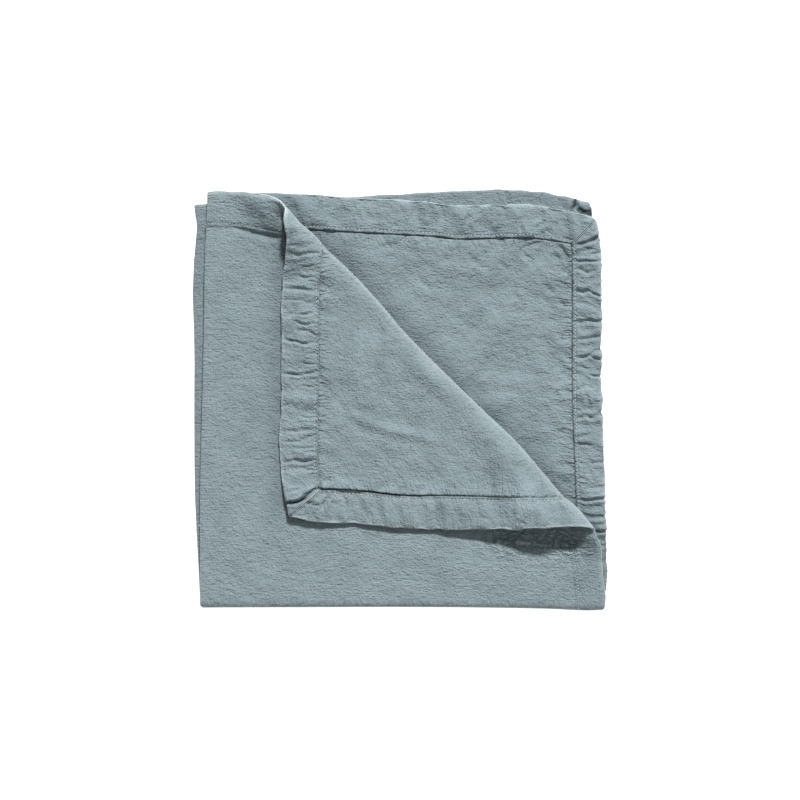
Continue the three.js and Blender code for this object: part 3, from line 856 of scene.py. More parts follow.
def roll_at(point):
    """Where plan points lie on the corner's fold, with the roll's sizes there."""
    offset = point - FOLD_START
    along = offset @ FOLD_ALONG
    station = np.clip(along, 0, FOLD_LENGTH)
    bow, height, width = (read(CORNER_FOLD, name, station) for name in ("bow", "height", "width"))
    return {
        "along": along,
        "beyond": offset @ FOLD_OUTWARD - bow,
        "bow": bow,
        "height": height,
        "width": width,
        "arc": np.sqrt((height**2 + width**2) / 2),
    }


def plan_point(along, outward):
    return FOLD_START + along[..., None] * FOLD_ALONG + outward[..., None] * FOLD_OUTWARD


def roll_angle(point):
    roll = roll_at(point)
    return (roll["beyond"] + roll["width"]) / roll["arc"]


def lay_out(point, over):
    """The flat cloth's place for points seen on the turned corner, under or over the roll."""
    roll = roll_at(point)
    inside = -roll["beyond"]
    run = roll["width"] - inside
    angle = np.arcsin(np.clip(run / roll["width"], -1, 1))
    on_roll = roll["arc"] * (np.pi - angle if over else angle)
    clear = np.pi * roll["arc"] - run if over else run
    flat = np.where(inside < roll["width"], on_roll, clear)
    return plan_point(roll["along"], flat - roll["width"] + roll["bow"])


def lay_out_edge(table, over):
    names, *rows = table
    points = np.array(rows, float)
    return lay_out(points if names[0] == "x" else points[:, ::-1], over)


front_top_line = spline_line(
    np.concatenate([lay_out_edge(FRONT_TOP_EDGE, False), lay_out_edge(FLAP_LEFT_EDGE, True)])
)
front_right_line = spline_line(
    np.concatenate([lay_out_edge(FRONT_RIGHT_EDGE, False), lay_out_edge(FLAP_LOWER_EDGE, True)[::-1]])
)


# The four panels in plan


def bend_line(x, inner):
    across = np.clip((x - PACKET_LEFT) / PANEL_WIDTH, 0, 1)
    rise = INNER_FOLD_RISE * smoothstep(across) if inner else 0
    return read(BOTTOM_FOLD, "outer", x) + OUTER_FOLD_DEPTH + rise


def spread_hems(across, up):
    """The front panel's shares, moved inwards near its top and its side so that the hems widen."""
    u = TURN_HALF + across * PANEL_WIDTH
    v = BEND_HALF + up * PACKET_HEIGHT
    moved = []
    for inside, width, share in (
        (U_END - u, SIDE_HEM, read(SIDE_HEM_SPREAD, "share", v)),
        (V_END - v, END_HEM, read(TOP_HEM_SPREAD, "share", u)),
    ):
        widths = inside / width
        taken = np.clip(widths, 0, 1) * (1 - smoothstep(widths, 1, 1 + SPREAD_FADE))
        moved.append(share * width * taken)
    return across - moved[0] / PANEL_WIDTH, up - moved[1] / PACKET_HEIGHT


class Panel:
    """One layer's plan: its four edges, each read by a share from 0 to 1, and what they span."""

    def __init__(self, name):
        self.name = name
        self.pair = "upper" if name in ("front", "second") else "lower"
        self.inner = name in ("second", "third")
        self.front = name == "front"
        fold_end_x = read(RIGHT_EDGES, "second", BOTTOM_BEND_Y)
        self.bottom_left_x = read(LEFT_FOLDS, "upper", BOTTOM_BEND_Y) + LEFT_FOLD_DEPTH
        self.bottom_right_x = fold_end_x if self.inner else front_right_line(0.0)[0]
        high_left_y = front_top_line(0.0)[1] if self.front else read(TOP_EDGES, name, PACKET_LEFT)
        high_right_y = CORNER_Y if self.front else read(TOP_EDGES, name, self.right_line(CORNER_Y))
        self.low_left = self.bottom(0.0)
        self.low_right = self.bottom(1.0)
        self.high_left = np.array([self.left_line(high_left_y), high_left_y])
        self.high_right = np.array([self.right_line(high_right_y), high_right_y])

    def left_line(self, y):
        return read(LEFT_FOLDS, self.pair, y) + LEFT_FOLD_DEPTH

    def right_line(self, y):
        return read(RIGHT_EDGES, "second" if self.front else self.name, y)

    def bottom(self, share):
        x = self.bottom_left_x + (self.bottom_right_x - self.bottom_left_x) * share
        return np.stack([x, bend_line(x, self.inner)], axis=-1)

    def side(self, share, start, end, line):
        y = start[1] + (end[1] - start[1]) * share
        ease = (start[0] - line(start[1])) * (1 - share) + (end[0] - line(end[1])) * share
        return np.stack([line(y) + ease, y], axis=-1)

    def left(self, share):
        return self.side(share, self.low_left, self.high_left, self.left_line)

    def right(self, share):
        if self.front:
            return front_right_line(share)
        return self.side(share, self.low_right, self.high_right, self.right_line)

    def top(self, share):
        if self.front:
            return front_top_line(share)
        x = self.high_left[0] + (self.high_right[0] - self.high_left[0]) * share
        return np.stack([x, read(TOP_EDGES, self.name, x)], axis=-1)

    def place(self, across, up):
        if self.front:
            across, up = spread_hems(across, up)
        a, b = across[..., None], up[..., None]
        sides = self.left(up) * (1 - a) + self.right(up) * a
        ends = self.bottom(across) * (1 - b) + self.top(across) * b
        low = self.bottom(0.0) * (1 - a) + self.bottom(1.0) * a
        high = self.top(0.0) * (1 - a) + self.top(1.0) * a
        return sides + ends - low * (1 - b) - high * b


panels = {name: Panel(name) for name in ("front", "second", "third", "fourth")}


# The cloth's middle surface


def unevenness(point):
    total = np.zeros(point.shape[:-1])
    for x, y, reach, rise in HILLS:
        far = ((point[..., 0] - x) ** 2 + (point[..., 1] - y) ** 2) / reach**2
        total += rise * np.exp(-far)
    return total


def mounds(point, rows):
    """Sum of soft mounds: x, y, reach along x, reach along y and height."""
    total = np.zeros(point.shape[:-1])
    for x, y, reach_x, reach_y, height in rows:
        total += height * bump(point[..., 0], x, reach_x) * bump(point[..., 1], y, reach_y)
    return total


def flap_height(roll, run, point):
    share = np.clip(run / (SETTLE_LENGTH * roll["height"]), 0, 1)
    fall = 1 - share**3 * (share * (share * 6 - 15) + 10)
    corner = np.array(FLAP_LOWER_EDGE[1])
    near = np.linalg.norm(point - corner, axis=-1) / CORNER_REACH
    lift = CORNER_LIFT * np.exp(-(near**2)) + smoothstep(run, *LIFT_START) * mounds(point, FLAP_LIFTS)
    rising = np.clip(run / SWELL_RISE, 0, 1)
    swell = SWELL * (1.5 * rising - 0.5 * rising**3) * np.exp(-((run / SWELL_REACH) ** 2))
    middle = smoothstep(roll["along"], *SWELL_START) * (1 - smoothstep(roll["along"], *SWELL_END))
    lift += swell * middle
    return FLAP_REST + (2 * roll["height"] - FLAP_REST) * fall + lift


def curl_lift(roll, inside, past):
    """How far the front has risen towards the start of the fold."""
    near = np.exp(-((roll["along"] / CURL_LENGTH) ** 2) - (inside / CURL_REACH) ** 2)
    return CURL_LIFT * near * np.exp(-past / CURL_SETTLE)


def front_place(point, hills_up):
    """Place in space of points of the front panel laid out flat."""
    roll = roll_at(point)
    angle = (roll["beyond"] + roll["width"]) / roll["arc"]
    past = np.maximum(0, (angle - np.pi) * roll["arc"])
    turning = roll["width"] * (np.sin(angle) - 1)
    across = np.where(past > 0, -roll["width"] - past, turning)
    seen = plan_point(roll["along"], across + roll["bow"])
    climb = (
        roll["height"] * (1 - np.cos(angle))
        + (flap_height(roll, 0 * past, seen) - 2 * roll["height"]) * (angle / np.pi) ** 2
    )
    lift = np.where(past > 0, flap_height(roll, past, seen), climb)
    flat = angle <= 0
    seen = np.where(flat[..., None], point, seen)
    inside = np.maximum(0, -roll["beyond"] - roll["width"])
    lift = np.where(flat, 0, lift) + curl_lift(roll, np.where(flat, inside, 0), past)
    lift += mounds(seen, FRONT_LIFTS) * np.clip(1 - angle / np.pi, 0, 1) ** 2
    z = FRONT_HEIGHT + hills_up * unevenness(seen) + lift
    return np.concatenate([seen, z[..., None]], axis=-1)


def squared(value):
    return np.sign(value) * np.abs(value) ** BEND_SQUARENESS


def cloth_place(u, v):
    """Place in space of points of the flat cloth: u runs from the inner panels' side edge (below
    zero) round the left fold to the outer ones', v from the lower panels' top edge (below zero)
    round the bottom fold to the upper ones'."""
    across = np.clip((np.abs(u) - TURN_HALF) / PANEL_WIDTH, 0, 1)
    up = np.clip((np.abs(v) - BEND_HALF) / PACKET_HEIGHT, 0, 1)
    turn = np.clip((TURN_HALF - u) / (2 * TURN_HALF), 0, 1) * np.pi
    bend = np.clip((BEND_HALF - v) / (2 * BEND_HALF), 0, 1) * np.pi
    outer_share = (1 + np.cos(turn)) / 2
    plan = np.zeros(u.shape + (2,))
    for name, panel in panels.items():
        share = 1 - outer_share if panel.inner else outer_share
        mine = (share > 0) & ((v >= 0) == (panel.pair == "upper"))
        plan[mine] += share[mine, None] * panel.place(across[mine], up[mine])
    radius = BEND_RADIUS + PAIR_HALF_GAP * np.cos(turn)
    hills_up = np.where(v > 0, smoothstep(up, 0, HILL_START), 0)
    place = np.empty(u.shape + (3,))
    place[..., 0] = plan[..., 0] - PAIR_HALF_GAP * np.sin(turn)
    place[..., 1] = plan[..., 1] - radius * squared(np.sin(bend))
    place[..., 2] = STACK_MIDDLE + radius * squared(np.cos(bend)) + hills_up * unevenness(plan)
    near_fold = np.clip(1 - np.abs(v) / FOLD_CORNER_REACH, 0, 1)
    drawn = FOLD_CORNER * (1 - np.sqrt(1 - near_fold**2)) * smoothstep(across, *FOLD_CORNER_START)
    place[..., 0] -= np.where(turn <= 0, drawn, 0)
    plan[..., 0] -= np.where(turn <= 0, drawn, 0)
    front = (turn <= 0) & (bend <= 0)
    place[front] = front_place(plan[front], hills_up[front])
    return place


def cloth_frame(u, v, step=0.3):
    """Places, unit tangents along u and v, and the normal of the cloth's right side."""
    place = cloth_place(u, v)
    tangents = []
    for du, dv in ((step, 0), (0, step)):
        far = cloth_place(np.clip(u + du, -U_END, U_END), np.clip(v + dv, -V_END, V_END))
        near = cloth_place(np.clip(u - du, -U_END, U_END), np.clip(v - dv, -V_END, V_END))
        along = far - near
        tangents.append(along / np.linalg.norm(along, axis=-1, keepdims=True))
    normal = np.cross(*tangents)
    normal /= np.linalg.norm(normal, axis=-1, keepdims=True)
    return place, *tangents, normal


# Relief


def value_noise(u, v, cell_u, cell_v, seed):
    """Smooth noise from -1 to 1 with the given cell sizes, the same on each run."""
    rng = np.random.default_rng(seed)
    reach_u = int(2 * U_END / cell_u) + 4
    reach_v = int(2 * V_END / cell_v) + 4
    lattice = rng.uniform(-1, 1, (reach_u + 1, reach_v + 1))
    x = np.clip((u + U_END) / cell_u + 1, 0, reach_u - 0.001)
    y = np.clip((v + V_END) / cell_v + 1, 0, reach_v - 0.001)
    i, j = x.astype(int), y.astype(int)
    a = smoothstep(x - i)
    b = smoothstep(y - j)
    low = lattice[i, j] * (1 - a) + lattice[i + 1, j] * a
    high = lattice[i, j + 1] * (1 - a) + lattice[i + 1, j + 1] * a
    return low * (1 - b) + high * b


def layered_noise(u, v, layers, seed=0):
    """Sum of noises, each a cell along u, a cell along v, a seed and a share."""
    return sum(
        share * value_noise(u, v, cell_u, cell_v, seed + own) for cell_u, cell_v, own, share in layers
    )


def line_distance(xy, points):
    """Distance of each point to a line of points, and how far along the line it lies."""
    best = np.full(len(xy), np.inf)
    where = np.zeros(len(xy))
    steps = np.linalg.norm(np.diff(points, axis=0), axis=1)
    starts = np.concatenate([[0], np.cumsum(steps)])
    for start, end, length, before in zip(points[:-1], points[1:], steps, starts):
        offset = xy - start
        share = np.clip(offset @ (end - start) / length**2, 0, 1)
        away = np.linalg.norm(offset - share[:, None] * (end - start), axis=1)
        closer = away < best
        best[closer] = away[closer]
        where[closer] = before + share[closer] * length
    return best, where / starts[-1]


def near_line(xy, points, reach):
    """Which points may lie within reach of a line, how far from it, and how far along it."""
    points = np.array(points, float)
    near = np.all((xy > points.min(0) - reach) & (xy < points.max(0) + reach), axis=1)
    index = np.flatnonzero(near)
    return index, *line_distance(xy[index], points)


def crease_relief(xy, rows, finest):
    """Height of the listed creases: a trough between two low lips, softer at its ends."""
    total = np.zeros(len(xy))
    lip_share, lip_at, lip_width = CREASE_LIPS
    for depth, half_width, *points in rows:
        width = max(half_width, finest)
        depth = depth * half_width / width
        index, away, share = near_line(xy, points, 4 * width)
        inwards = np.minimum(share, 1 - share)
        ends = CREASE_ENDS + (1 - CREASE_ENDS) * smoothstep(inwards, 0, CREASE_END_REACH)
        trough = bump(away, 0, width)
        lips = lip_share * bump(away, lip_at * width, lip_width * width)
        total[index] -= CREASE_STRENGTH * depth * ends * (trough - lips)
    return total


def panel_shares(u, v):
    across = np.clip((u - TURN_HALF) / PANEL_WIDTH, 0, 1)
    up = np.clip((v - BEND_HALF) / PACKET_HEIGHT, 0, 1)
    return across, up


def regions(u, v):
    """Which of the seen surfaces each point of the cloth belongs to."""
    angle = roll_angle(panels["front"].place(*panel_shares(u, v)))
    outer = (u > 0) & (v > 0)
    return {
        "flap": outer & (angle > np.pi / 2),
        "front": outer & (angle <= np.pi / 2),
        "second": (u <= 0) & (v > 0),
        "third": (u <= 0) & (v <= 0),
    }


def from_crest(u, v):
    """Distance over the cloth from the top of the turned corner's roll."""
    roll = roll_at(panels["front"].place(*panel_shares(u, v)))
    return roll["beyond"] + roll["width"] - roll["arc"] * np.pi / 2


def inside_hems(u, v):
    """How far a point lies inside the inner edges of the side hems and of the end hems."""
    return U_END - SIDE_HEM - np.abs(u), V_END - END_HEM - np.abs(v)


def puckers(u, v):
    """Short ripples that run from the stitching into the panel."""
    total = 0
    for inside, layers, reach in zip(
        inside_hems(u, v), (SIDE_PUCKERS, END_PUCKERS), (SIDE_PUCKER_REACH, END_PUCKER_REACH)
    ):
        fade = np.exp(-np.maximum(inside, 0) / reach)
        total = total + layered_noise(u, v, layers) * fade * smoothstep(inside, -1, 1)
    return total


def hem_step(u, v):
    """On the right side the panel drops behind the thicker hem, with a valley at the stitches."""
    total = np.zeros(u.shape)
    for inside in inside_hems(u, v):
        drop = smoothstep(inside, *HEM_DROP_RANGE) * np.exp(-np.maximum(inside, 0) / HEM_DROP_REACH)
        total -= HEM_DROP * drop + SEAM_VALLEY * bump(inside, -STITCH_INSET, SEAM_VALLEY_WIDTH)
    return total


def hem_groove(name, u, v):
    from_side, from_end = inside_hems(u, v)
    deep_side, deep_end = GROOVES[name]
    side = deep_side * bump(from_side, GROOVE_AT, SIDE_GROOVE_WIDTH) * (from_end > -1)
    end = deep_end * bump(from_end, GROOVE_AT, END_GROOVE_WIDTH) * (from_side > -1)
    return np.maximum(side, end)


def overhang(u, v):
    from_side, from_end = inside_hems(u, v)
    steep = smoothstep(from_side, *OVERHANG_STEEP)
    steep = steep * np.exp(-np.maximum(from_side - 1, 0) / OVERHANG_REACH)
    uneven = OVERHANG_EVEN + layered_noise(u, v, OVERHANG_NOISE)
    corner = smoothstep(from_end, -3, 2)
    return OVERHANG * steep * uneven * corner * (1 - smoothstep(V_END - v, *OVERHANG_FADE))


def panel_relief(u, v, place, finest=None):
    """Height of the relief along the normal of the cloth's right side, the grooves apart, with the
    creases and the overhang only where their finest half width is given."""
    flat = layered_noise(u, v, CRUMPLE_NOISE)
    gathered = puckers(u, v)
    total = np.zeros(u.shape)
    for name, mine in regions(u, v).items():
        wrong = name in WRONG_SIDE_UP
        xy = place[mine][:, :2]
        across, along = u[mine], v[mine]
        amplitude = CRUMPLE[name] + (mounds(xy, FRONT_CRUMPLES) if name == "front" else 0)
        height = amplitude * flat[mine] + PUCKER[name] * gathered[mine]
        height *= smoothstep(np.abs(across), *CALM_LEFT_FOLD) * smoothstep(np.abs(along), *CALM_BOTTOM_FOLD)
        if name in ("flap", "front"):
            height *= smoothstep(np.abs(from_crest(across, along)), *CALM_CREST)
        if name == "third":
            height += mounds(xy, THIRD_LOBE)
        if finest:
            height += PANEL_CREASES[name] * crease_relief(xy, CREASES[name], finest)
        if finest and name == "flap":
            height += overhang(across, along)
        if not wrong:
            height += hem_step(across, along)
        total[mine] = -height if wrong else height
    return total


def rounded(u, v):
    """Draws the points of a square corner in to a round one."""
    radius = np.where((u > 0) & (v > 0), FLAP_CORNER_RADIUS, CORNER_RADIUS)
    from_side = radius - (U_END - np.abs(u))
    from_end = radius - (V_END - np.abs(v))
    square = np.maximum(from_side, from_end)
    length = np.hypot(from_side, from_end)
    near = (from_side > 0) & (from_end > 0)
    share = np.where(near, square / np.where(near, length, 1), 1)
    side = radius - from_side * share
    end = radius - from_end * share
    return (
        np.where(near, np.sign(u) * (U_END - side), u),
        np.where(near, np.sign(v) * (V_END - end), v),
    )


# What the material reads at the points


def highlight_and_wear(u, v):
    """How much lighter the cloth is made: painted highlight on the top of the turned corner's roll and on
    the curl's rim, partly painted highlight and partly worn cloth along its edges, and worn cloth along its
    folds.
    """
    past_crest = from_crest(u, v)
    crest = bump(past_crest, *CREST_HIGHLIGHT) + SLOPE_HIGHLIGHT_SHARE * bump(past_crest, *SLOPE_HIGHLIGHT)
    crest = np.where((u > 0) & (v > 0), crest, 0)
    folds = np.maximum(bump(u, 0, WEAR_LEFT_FOLD), bump(v, 0, WEAR_BOTTOM_FOLD))
    edge = bump(np.minimum(U_END - np.abs(u), V_END - np.abs(v)), 0, EDGE_HIGHLIGHT_AND_WEAR)
    level = np.where(v > 0, HIGHLIGHT_AND_WEAR_UPPER, HIGHLIGHT_AND_WEAR_LOWER)
    curl = CURL_RIM * bump(u, *CURL_RIM_AT) * bump(V_END - v, 0, CURL_RIM_WIDTH) * (v > 0)
    return np.maximum(level * np.maximum(np.maximum(crest, WEAR_FOLD_SHARE * folds), edge), curl)


def gathers(u, v):
    """How strongly the stitching gathers the cloth: along the side hems and along the end hems."""
    from_side, from_end = inside_hems(u, v)
    strength = np.zeros(u.shape)
    for name, mine in regions(u, v).items():
        strength[mine] = GATHERS[name]
    shares = []
    for inside, other in ((from_side, from_end), (from_end, from_side)):
        share = np.exp(-np.maximum(inside, 0) / GATHER_REACH) * smoothstep(other, *GATHER_CORNER)
        on_hem = HEM_GATHER + (1 - HEM_GATHER) * smoothstep(inside, *HEM_GATHER_RANGE)
        shares.append(strength * share * on_hem)
    return shares


def hem_shade(name, u, v):
    """Painted shade: the dark lines beside the hems, at their stitches and along the mitres."""
    from_side, from_end = inside_hems(u, v)
    side, end, stitches = HEM_SHADES[name]
    side = side * (HEM_SHADE_EVEN + layered_noise(u, v, SIDE_LINE_NOISE))
    end = end * (HEM_SHADE_EVEN + layered_noise(u, v, END_LINE_NOISE))
    dark = np.zeros(u.shape)
    for strength, inside, at in (
        (side, from_side, HEM_SHADE_AT),
        (end, from_end, HEM_SHADE_AT),
        (stitches, from_side, -STITCH_INSET),
        (stitches, from_end, -STITCH_INSET),
    ):
        dark = np.maximum(dark, strength * bump(inside, at, HEM_SHADE_WIDTH))
    if name in WRONG_SIDE_UP:
        corner = (from_side < 0) & (from_end < 0)
        mitre = (from_side / SIDE_HEM - from_end / END_HEM) * (SIDE_HEM + END_HEM) * MITRE_SLOPE
        dark = np.maximum(dark, MITRE_SHADE[name] * bump(mitre, 0, MITRE_SHADE_WIDTH) * corner)
    return dark


def shade(u, v, xy):
    """How much painted shade darkens the cloth in its deepest places, from 0 to 1."""
    total = np.zeros(u.shape)
    for name, mine in regions(u, v).items():
        points = xy[mine]
        dark = np.maximum(mounds(points, SHADES.get(name, ())), hem_shade(name, u[mine], v[mine]))
        for strength, half_width, *line in CREVICE_SHADES[name]:
            index, away, _ = near_line(points, line, 3 * half_width)
            dark[index] = np.maximum(dark[index], strength * bump(away, 0, half_width))
        if name == "second":
            beyond = np.maximum(roll_at(points)["beyond"], 0)
            dark = np.maximum(dark, FOLD_SHADE * bump(beyond, 0, FOLD_SHADE_REACH))
        total[mine] = dark
    return np.clip(total, 0, 1)


# Where the front's crumples get painted shade in the colour and relief in the bump
def crumpled(u, v, xy):
    mine = regions(u, v)["front"]
    return np.where(mine, np.clip(mounds(xy, CRUMPLED), 0, 1), 0)


# Meshes


def placed(name, data):
    """An object of the data, in the scene."""
    made = bpy.data.objects.new(name, data)
    bpy.context.scene.collection.objects.link(made)
    return made


def add_mesh(name, points, faces, uvs):
    """A mesh object from points in the tables' plan and in millimetres."""
    points = np.array(points, float)
    plan = points[:, :2].copy()
    points[:, :2] -= BOX_MIDDLE
    mesh = bpy.data.meshes.new(name)
    mesh.vertices.add(len(points))
    mesh.vertices.foreach_set("co", (points * MM).astype(np.float32).ravel())
    faces = np.asarray(faces, np.int32)
    mesh.loops.add(faces.size)
    mesh.loops.foreach_set("vertex_index", faces.ravel())
    mesh.polygons.add(len(faces))
    mesh.polygons.foreach_set("loop_start", np.arange(0, faces.size, faces.shape[1], dtype=np.int32))
    mesh.update(calc_edges=True)
    mesh.validate()
    layer = mesh.uv_layers.new(name="Cloth")
    layer.data.foreach_set("uv", (uvs[faces.ravel()] * MM).astype(np.float32).ravel())
    side_gather, end_gather = gathers(*uvs.T)
    shares = {
        "HighlightAndWear": highlight_and_wear(*uvs.T),
        "SideGather": side_gather,
        "EndGather": end_gather,
        "Shade": shade(*uvs.T, plan),
        "Crumple": crumpled(*uvs.T, plan),
    }
    for share, values in shares.items():
        attribute = mesh.attributes.new(share, "FLOAT", "POINT")
        attribute.data.foreach_set("value", values.astype(np.float32))
    mesh.polygons.foreach_set("use_smooth", np.full(len(faces), True))
    return placed(name, mesh)


def grid_faces(rows, columns):
    """Quads of a grid of points, counted row by row."""
    j, i = np.meshgrid(np.arange(rows - 1), np.arange(columns - 1), indexing="ij")
    a = (j * columns + i).ravel()
    return np.stack([a + 1, a + 1 + columns, a + columns, a], axis=1)


def spaced(places):
    """Grid lines from the first place to the last, at about each place's own step."""
    lines = []
    for (start, step), (end, _) in zip(places[:-1], places[1:]):
        count = max(1, round((end - start) / step))
        lines.extend(np.linspace(start, end, count + 1)[:-1])
    lines.append(places[-1][0])
    return np.array(lines)


def cloth_sheet():
    """The cloth itself, closed, its edge hidden inside the hems."""
    columns = spaced(SHEET_COLUMNS)
    rows = spaced(SHEET_ROWS)
    u, v = np.meshgrid(columns, rows)
    u, v = rounded(u.ravel(), v.ravel())
    place, _, _, normal = cloth_frame(u, v)
    relief = panel_relief(u, v, place, finest=SHEET_CREASE)
    groove = np.zeros(u.shape)
    for name in WRONG_SIDE_UP:
        mine = regions(u, v)[name]
        groove[mine] = hem_groove(name, u[mine], v[mine])
    right = place + normal * (SOLID_HALF + relief + GROOVE_RIGHT * groove)[:, None]
    wrong = place + normal * (SOLID_HALF - SHEET + relief + GROOVE_WRONG * groove)[:, None]
    count = len(u)
    faces = grid_faces(len(rows), len(columns))
    index = np.arange(count).reshape(len(rows), len(columns))
    rim = np.concatenate([index[0], index[1:, -1], index[-1, -2::-1], index[-2:0:-1, 0]])
    following = np.roll(rim, -1)
    walls = np.stack([rim, rim + count, following + count, following], axis=1)
    faces = np.concatenate([faces, faces[:, ::-1] + count, walls])
    uvs = np.stack([u, v], axis=1)
    return add_mesh("runner_sheet", np.concatenate([right, wrong]), faces, np.concatenate([uvs, uvs]))


# The hems


class Hem:
    """A band along one edge of the cloth: side hems run along v, end hems along u."""

    def __init__(self, along_v, sign, seed):
        self.along_v = along_v
        self.sign = sign
        self.seed = seed
        self.width = SIDE_HEM if along_v else END_HEM
        self.other_width = END_HEM if along_v else SIDE_HEM
        self.half_length = V_END if along_v else U_END
        self.reach = U_END if along_v else V_END

    def cloth(self, run, depth):
        """Cloth coordinates of points of the hem."""
        edge = self.sign * (self.reach - np.maximum(depth, 0))
        return rounded(edge, run) if self.along_v else rounded(run, edge)

    def mitred(self, run, depth):
        """Draws a run in so that the band ends on the mitre at each depth."""
        ratio = self.other_width / self.width
        cut = np.clip(depth, 0, self.width) * ratio
        zone = 2 * self.other_width
        over = np.abs(run) - (self.half_length - zone)
        drawn = self.half_length - zone + over * (zone - cut) / zone
        return np.where(over > 0, np.sign(run) * drawn, run)

    def top(self, run, depth, u, v, place):
        """Height of the hem's wrong side over the middle surface."""
        inside = self.width - depth
        crown = HEM_CROWN * smoothstep(depth, *CROWN_RISE) * smoothstep(inside, *CROWN_FALL)
        edge = -HEM_EDGE_DIP * (1 - smoothstep(depth, *EDGE_DIP_END))
        valley = -HEM_VALLEY * bump(inside, STITCH_INSET, HEM_VALLEY_WIDTH)
        lip = -HEM_LIP - HEM_LIP_END * (1 - smoothstep(inside, *LIP_END_RANGE))
        lip = lip * (1 - smoothstep(inside, *LIP_RANGE))
        calm = smoothstep(depth, *LUMPS_FROM_EDGE) * smoothstep(inside, *LUMPS_FROM_SEAM)
        lumps = layered_noise(run, depth, HEM_LUMPS, self.seed) * (0.5 + 0.5 * calm)
        top = HEM_LIFT + HEM_SLACK + crown + edge + valley + lip
        for name, mine in regions(u, v).items():
            if name in WRONG_SIDE_UP:
                top[mine] += crease_relief(place[mine][:, :2], CREASES[name], HEM_CREASE)
            else:
                lumps[mine] *= UNSEEN_LUMPS
        mitre = (self.half_length - np.abs(run)) * self.width / self.other_width - depth
        top += lumps - HEM_MITRE_DIP * bump(mitre, 0, HEM_MITRE_WIDTH)
        return np.maximum(top, LEAST_TOP)


def hem_profile(width):
    """The hem's section as a loop: depth, height over the middle surface, and whether the height
    is that of the hem's uneven top instead."""
    first, last, count = MIDDLE_TOPS
    middle = [(depth, 0, 1) for depth in np.linspace(first, width - last, count)]
    first, last, count = HIDDEN_BOTTOMS
    hidden = [(depth, HIDDEN_HEIGHT, 0) for depth in np.linspace(width - first, last, count)]
    edge = [(depth, height, 0) for depth, height in EDGE_PROFILE]
    tops = [(width - back, 0, 1) for back in INNER_TOPS]
    inner = [(width - back, height, 0) for back, height in INNER_EDGE]
    return np.array([*edge, *middle, *tops, *inner, *hidden])


def hem_mesh(hem, places):
    """Points, faces and cloth coordinates of one hem band."""
    runs = spaced(places)
    profile = hem_profile(hem.width)
    run, section = np.meshgrid(runs, np.arange(len(profile)), indexing="ij")
    run, section = run.ravel(), section.ravel()
    depth, height, free = profile[section].T
    run = hem.mitred(run, depth)
    u, v = hem.cloth(run, depth)
    place, along_u, along_v, normal = cloth_frame(u, v)
    base = panel_relief(u, v, place)
    top = hem.top(run, depth, u, v, place)
    height = np.where(free > 0, top, height)
    outward = (along_u if hem.along_v else along_v) * hem.sign
    pinched = np.clip(top - HEM_LIFT, *PINCH_RANGE) * PINCH
    beyond = np.where(depth < EDGE_DEPTH, pinched - np.minimum(depth, 0), 0)
    waves = layered_noise(run, 0 * run, WAVES, hem.seed) * smoothstep(WAVES_DEPTH - depth, 0, WAVES_DEPTH)
    points = place + normal * (base - height)[:, None] + outward * (beyond + waves)[:, None]
    count, size = len(runs), len(profile)
    j, i = np.meshgrid(np.arange(count - 1), np.arange(size), indexing="ij")
    a = (j * size + i).ravel()
    b = (j * size + (i + 1) % size).ravel()
    faces = np.stack([a, b, b + size, a + size], axis=1)
    if (hem.sign > 0) == hem.along_v:
        faces = faces[:, ::-1]
    return points, faces, np.stack([u, v], axis=1)


def joined(name, parts):
    """One mesh object of several parts, each its points, faces and cloth coordinates."""
    starts = np.cumsum([0] + [len(points) for points, _, _ in parts[:-1]])
    return add_mesh(
        name,
        np.concatenate([points for points, _, _ in parts]),
        np.concatenate([faces + start for (_, faces, _), start in zip(parts, starts)]),
        np.concatenate([uvs for _, _, uvs in parts]),
    )


HEMS = {
    "upper_end": Hem(False, 1, 0),
    "lower_end": Hem(False, -1, 100),
    "outer_side": Hem(True, 1, 200),
    "inner_side": Hem(True, -1, 300),
}


def hem_bands(piece, *names):
    return joined(piece, [hem_mesh(HEMS[name], HEM_GRIDS[name]) for name in names])


# Stitching


def capsules(centres, directions, ups, lengths, radius):
    """Short rounded rods, as one mesh without cloth coordinates of its own."""
    across = np.cross(directions, ups)
    across /= np.linalg.norm(across, axis=1, keepdims=True)
    ups = np.cross(across, directions)
    points = []
    for share, size in ROD_RINGS:
        for angle in np.arange(ROD_SIDES) * 2 * np.pi / ROD_SIDES:
            spread = np.cos(angle) * across + np.sin(angle) * ups
            points.append(centres + directions * (share * lengths)[:, None] + spread * size * radius)
    points = np.stack(points, axis=1).reshape(-1, 3)
    around = np.arange(ROD_SIDES)
    rows = np.arange(len(ROD_RINGS) - 1)[:, None] * ROD_SIDES
    corners = (rows + around, rows + np.roll(around, -1))
    faces = np.stack([*corners, corners[1] + ROD_SIDES, corners[0] + ROD_SIDES], axis=-1).reshape(-1, 4)
    starts = np.arange(len(centres))[:, None, None] * len(ROD_RINGS) * ROD_SIDES
    return points, (faces[None] + starts).reshape(-1, 4), np.zeros((len(points), 2))


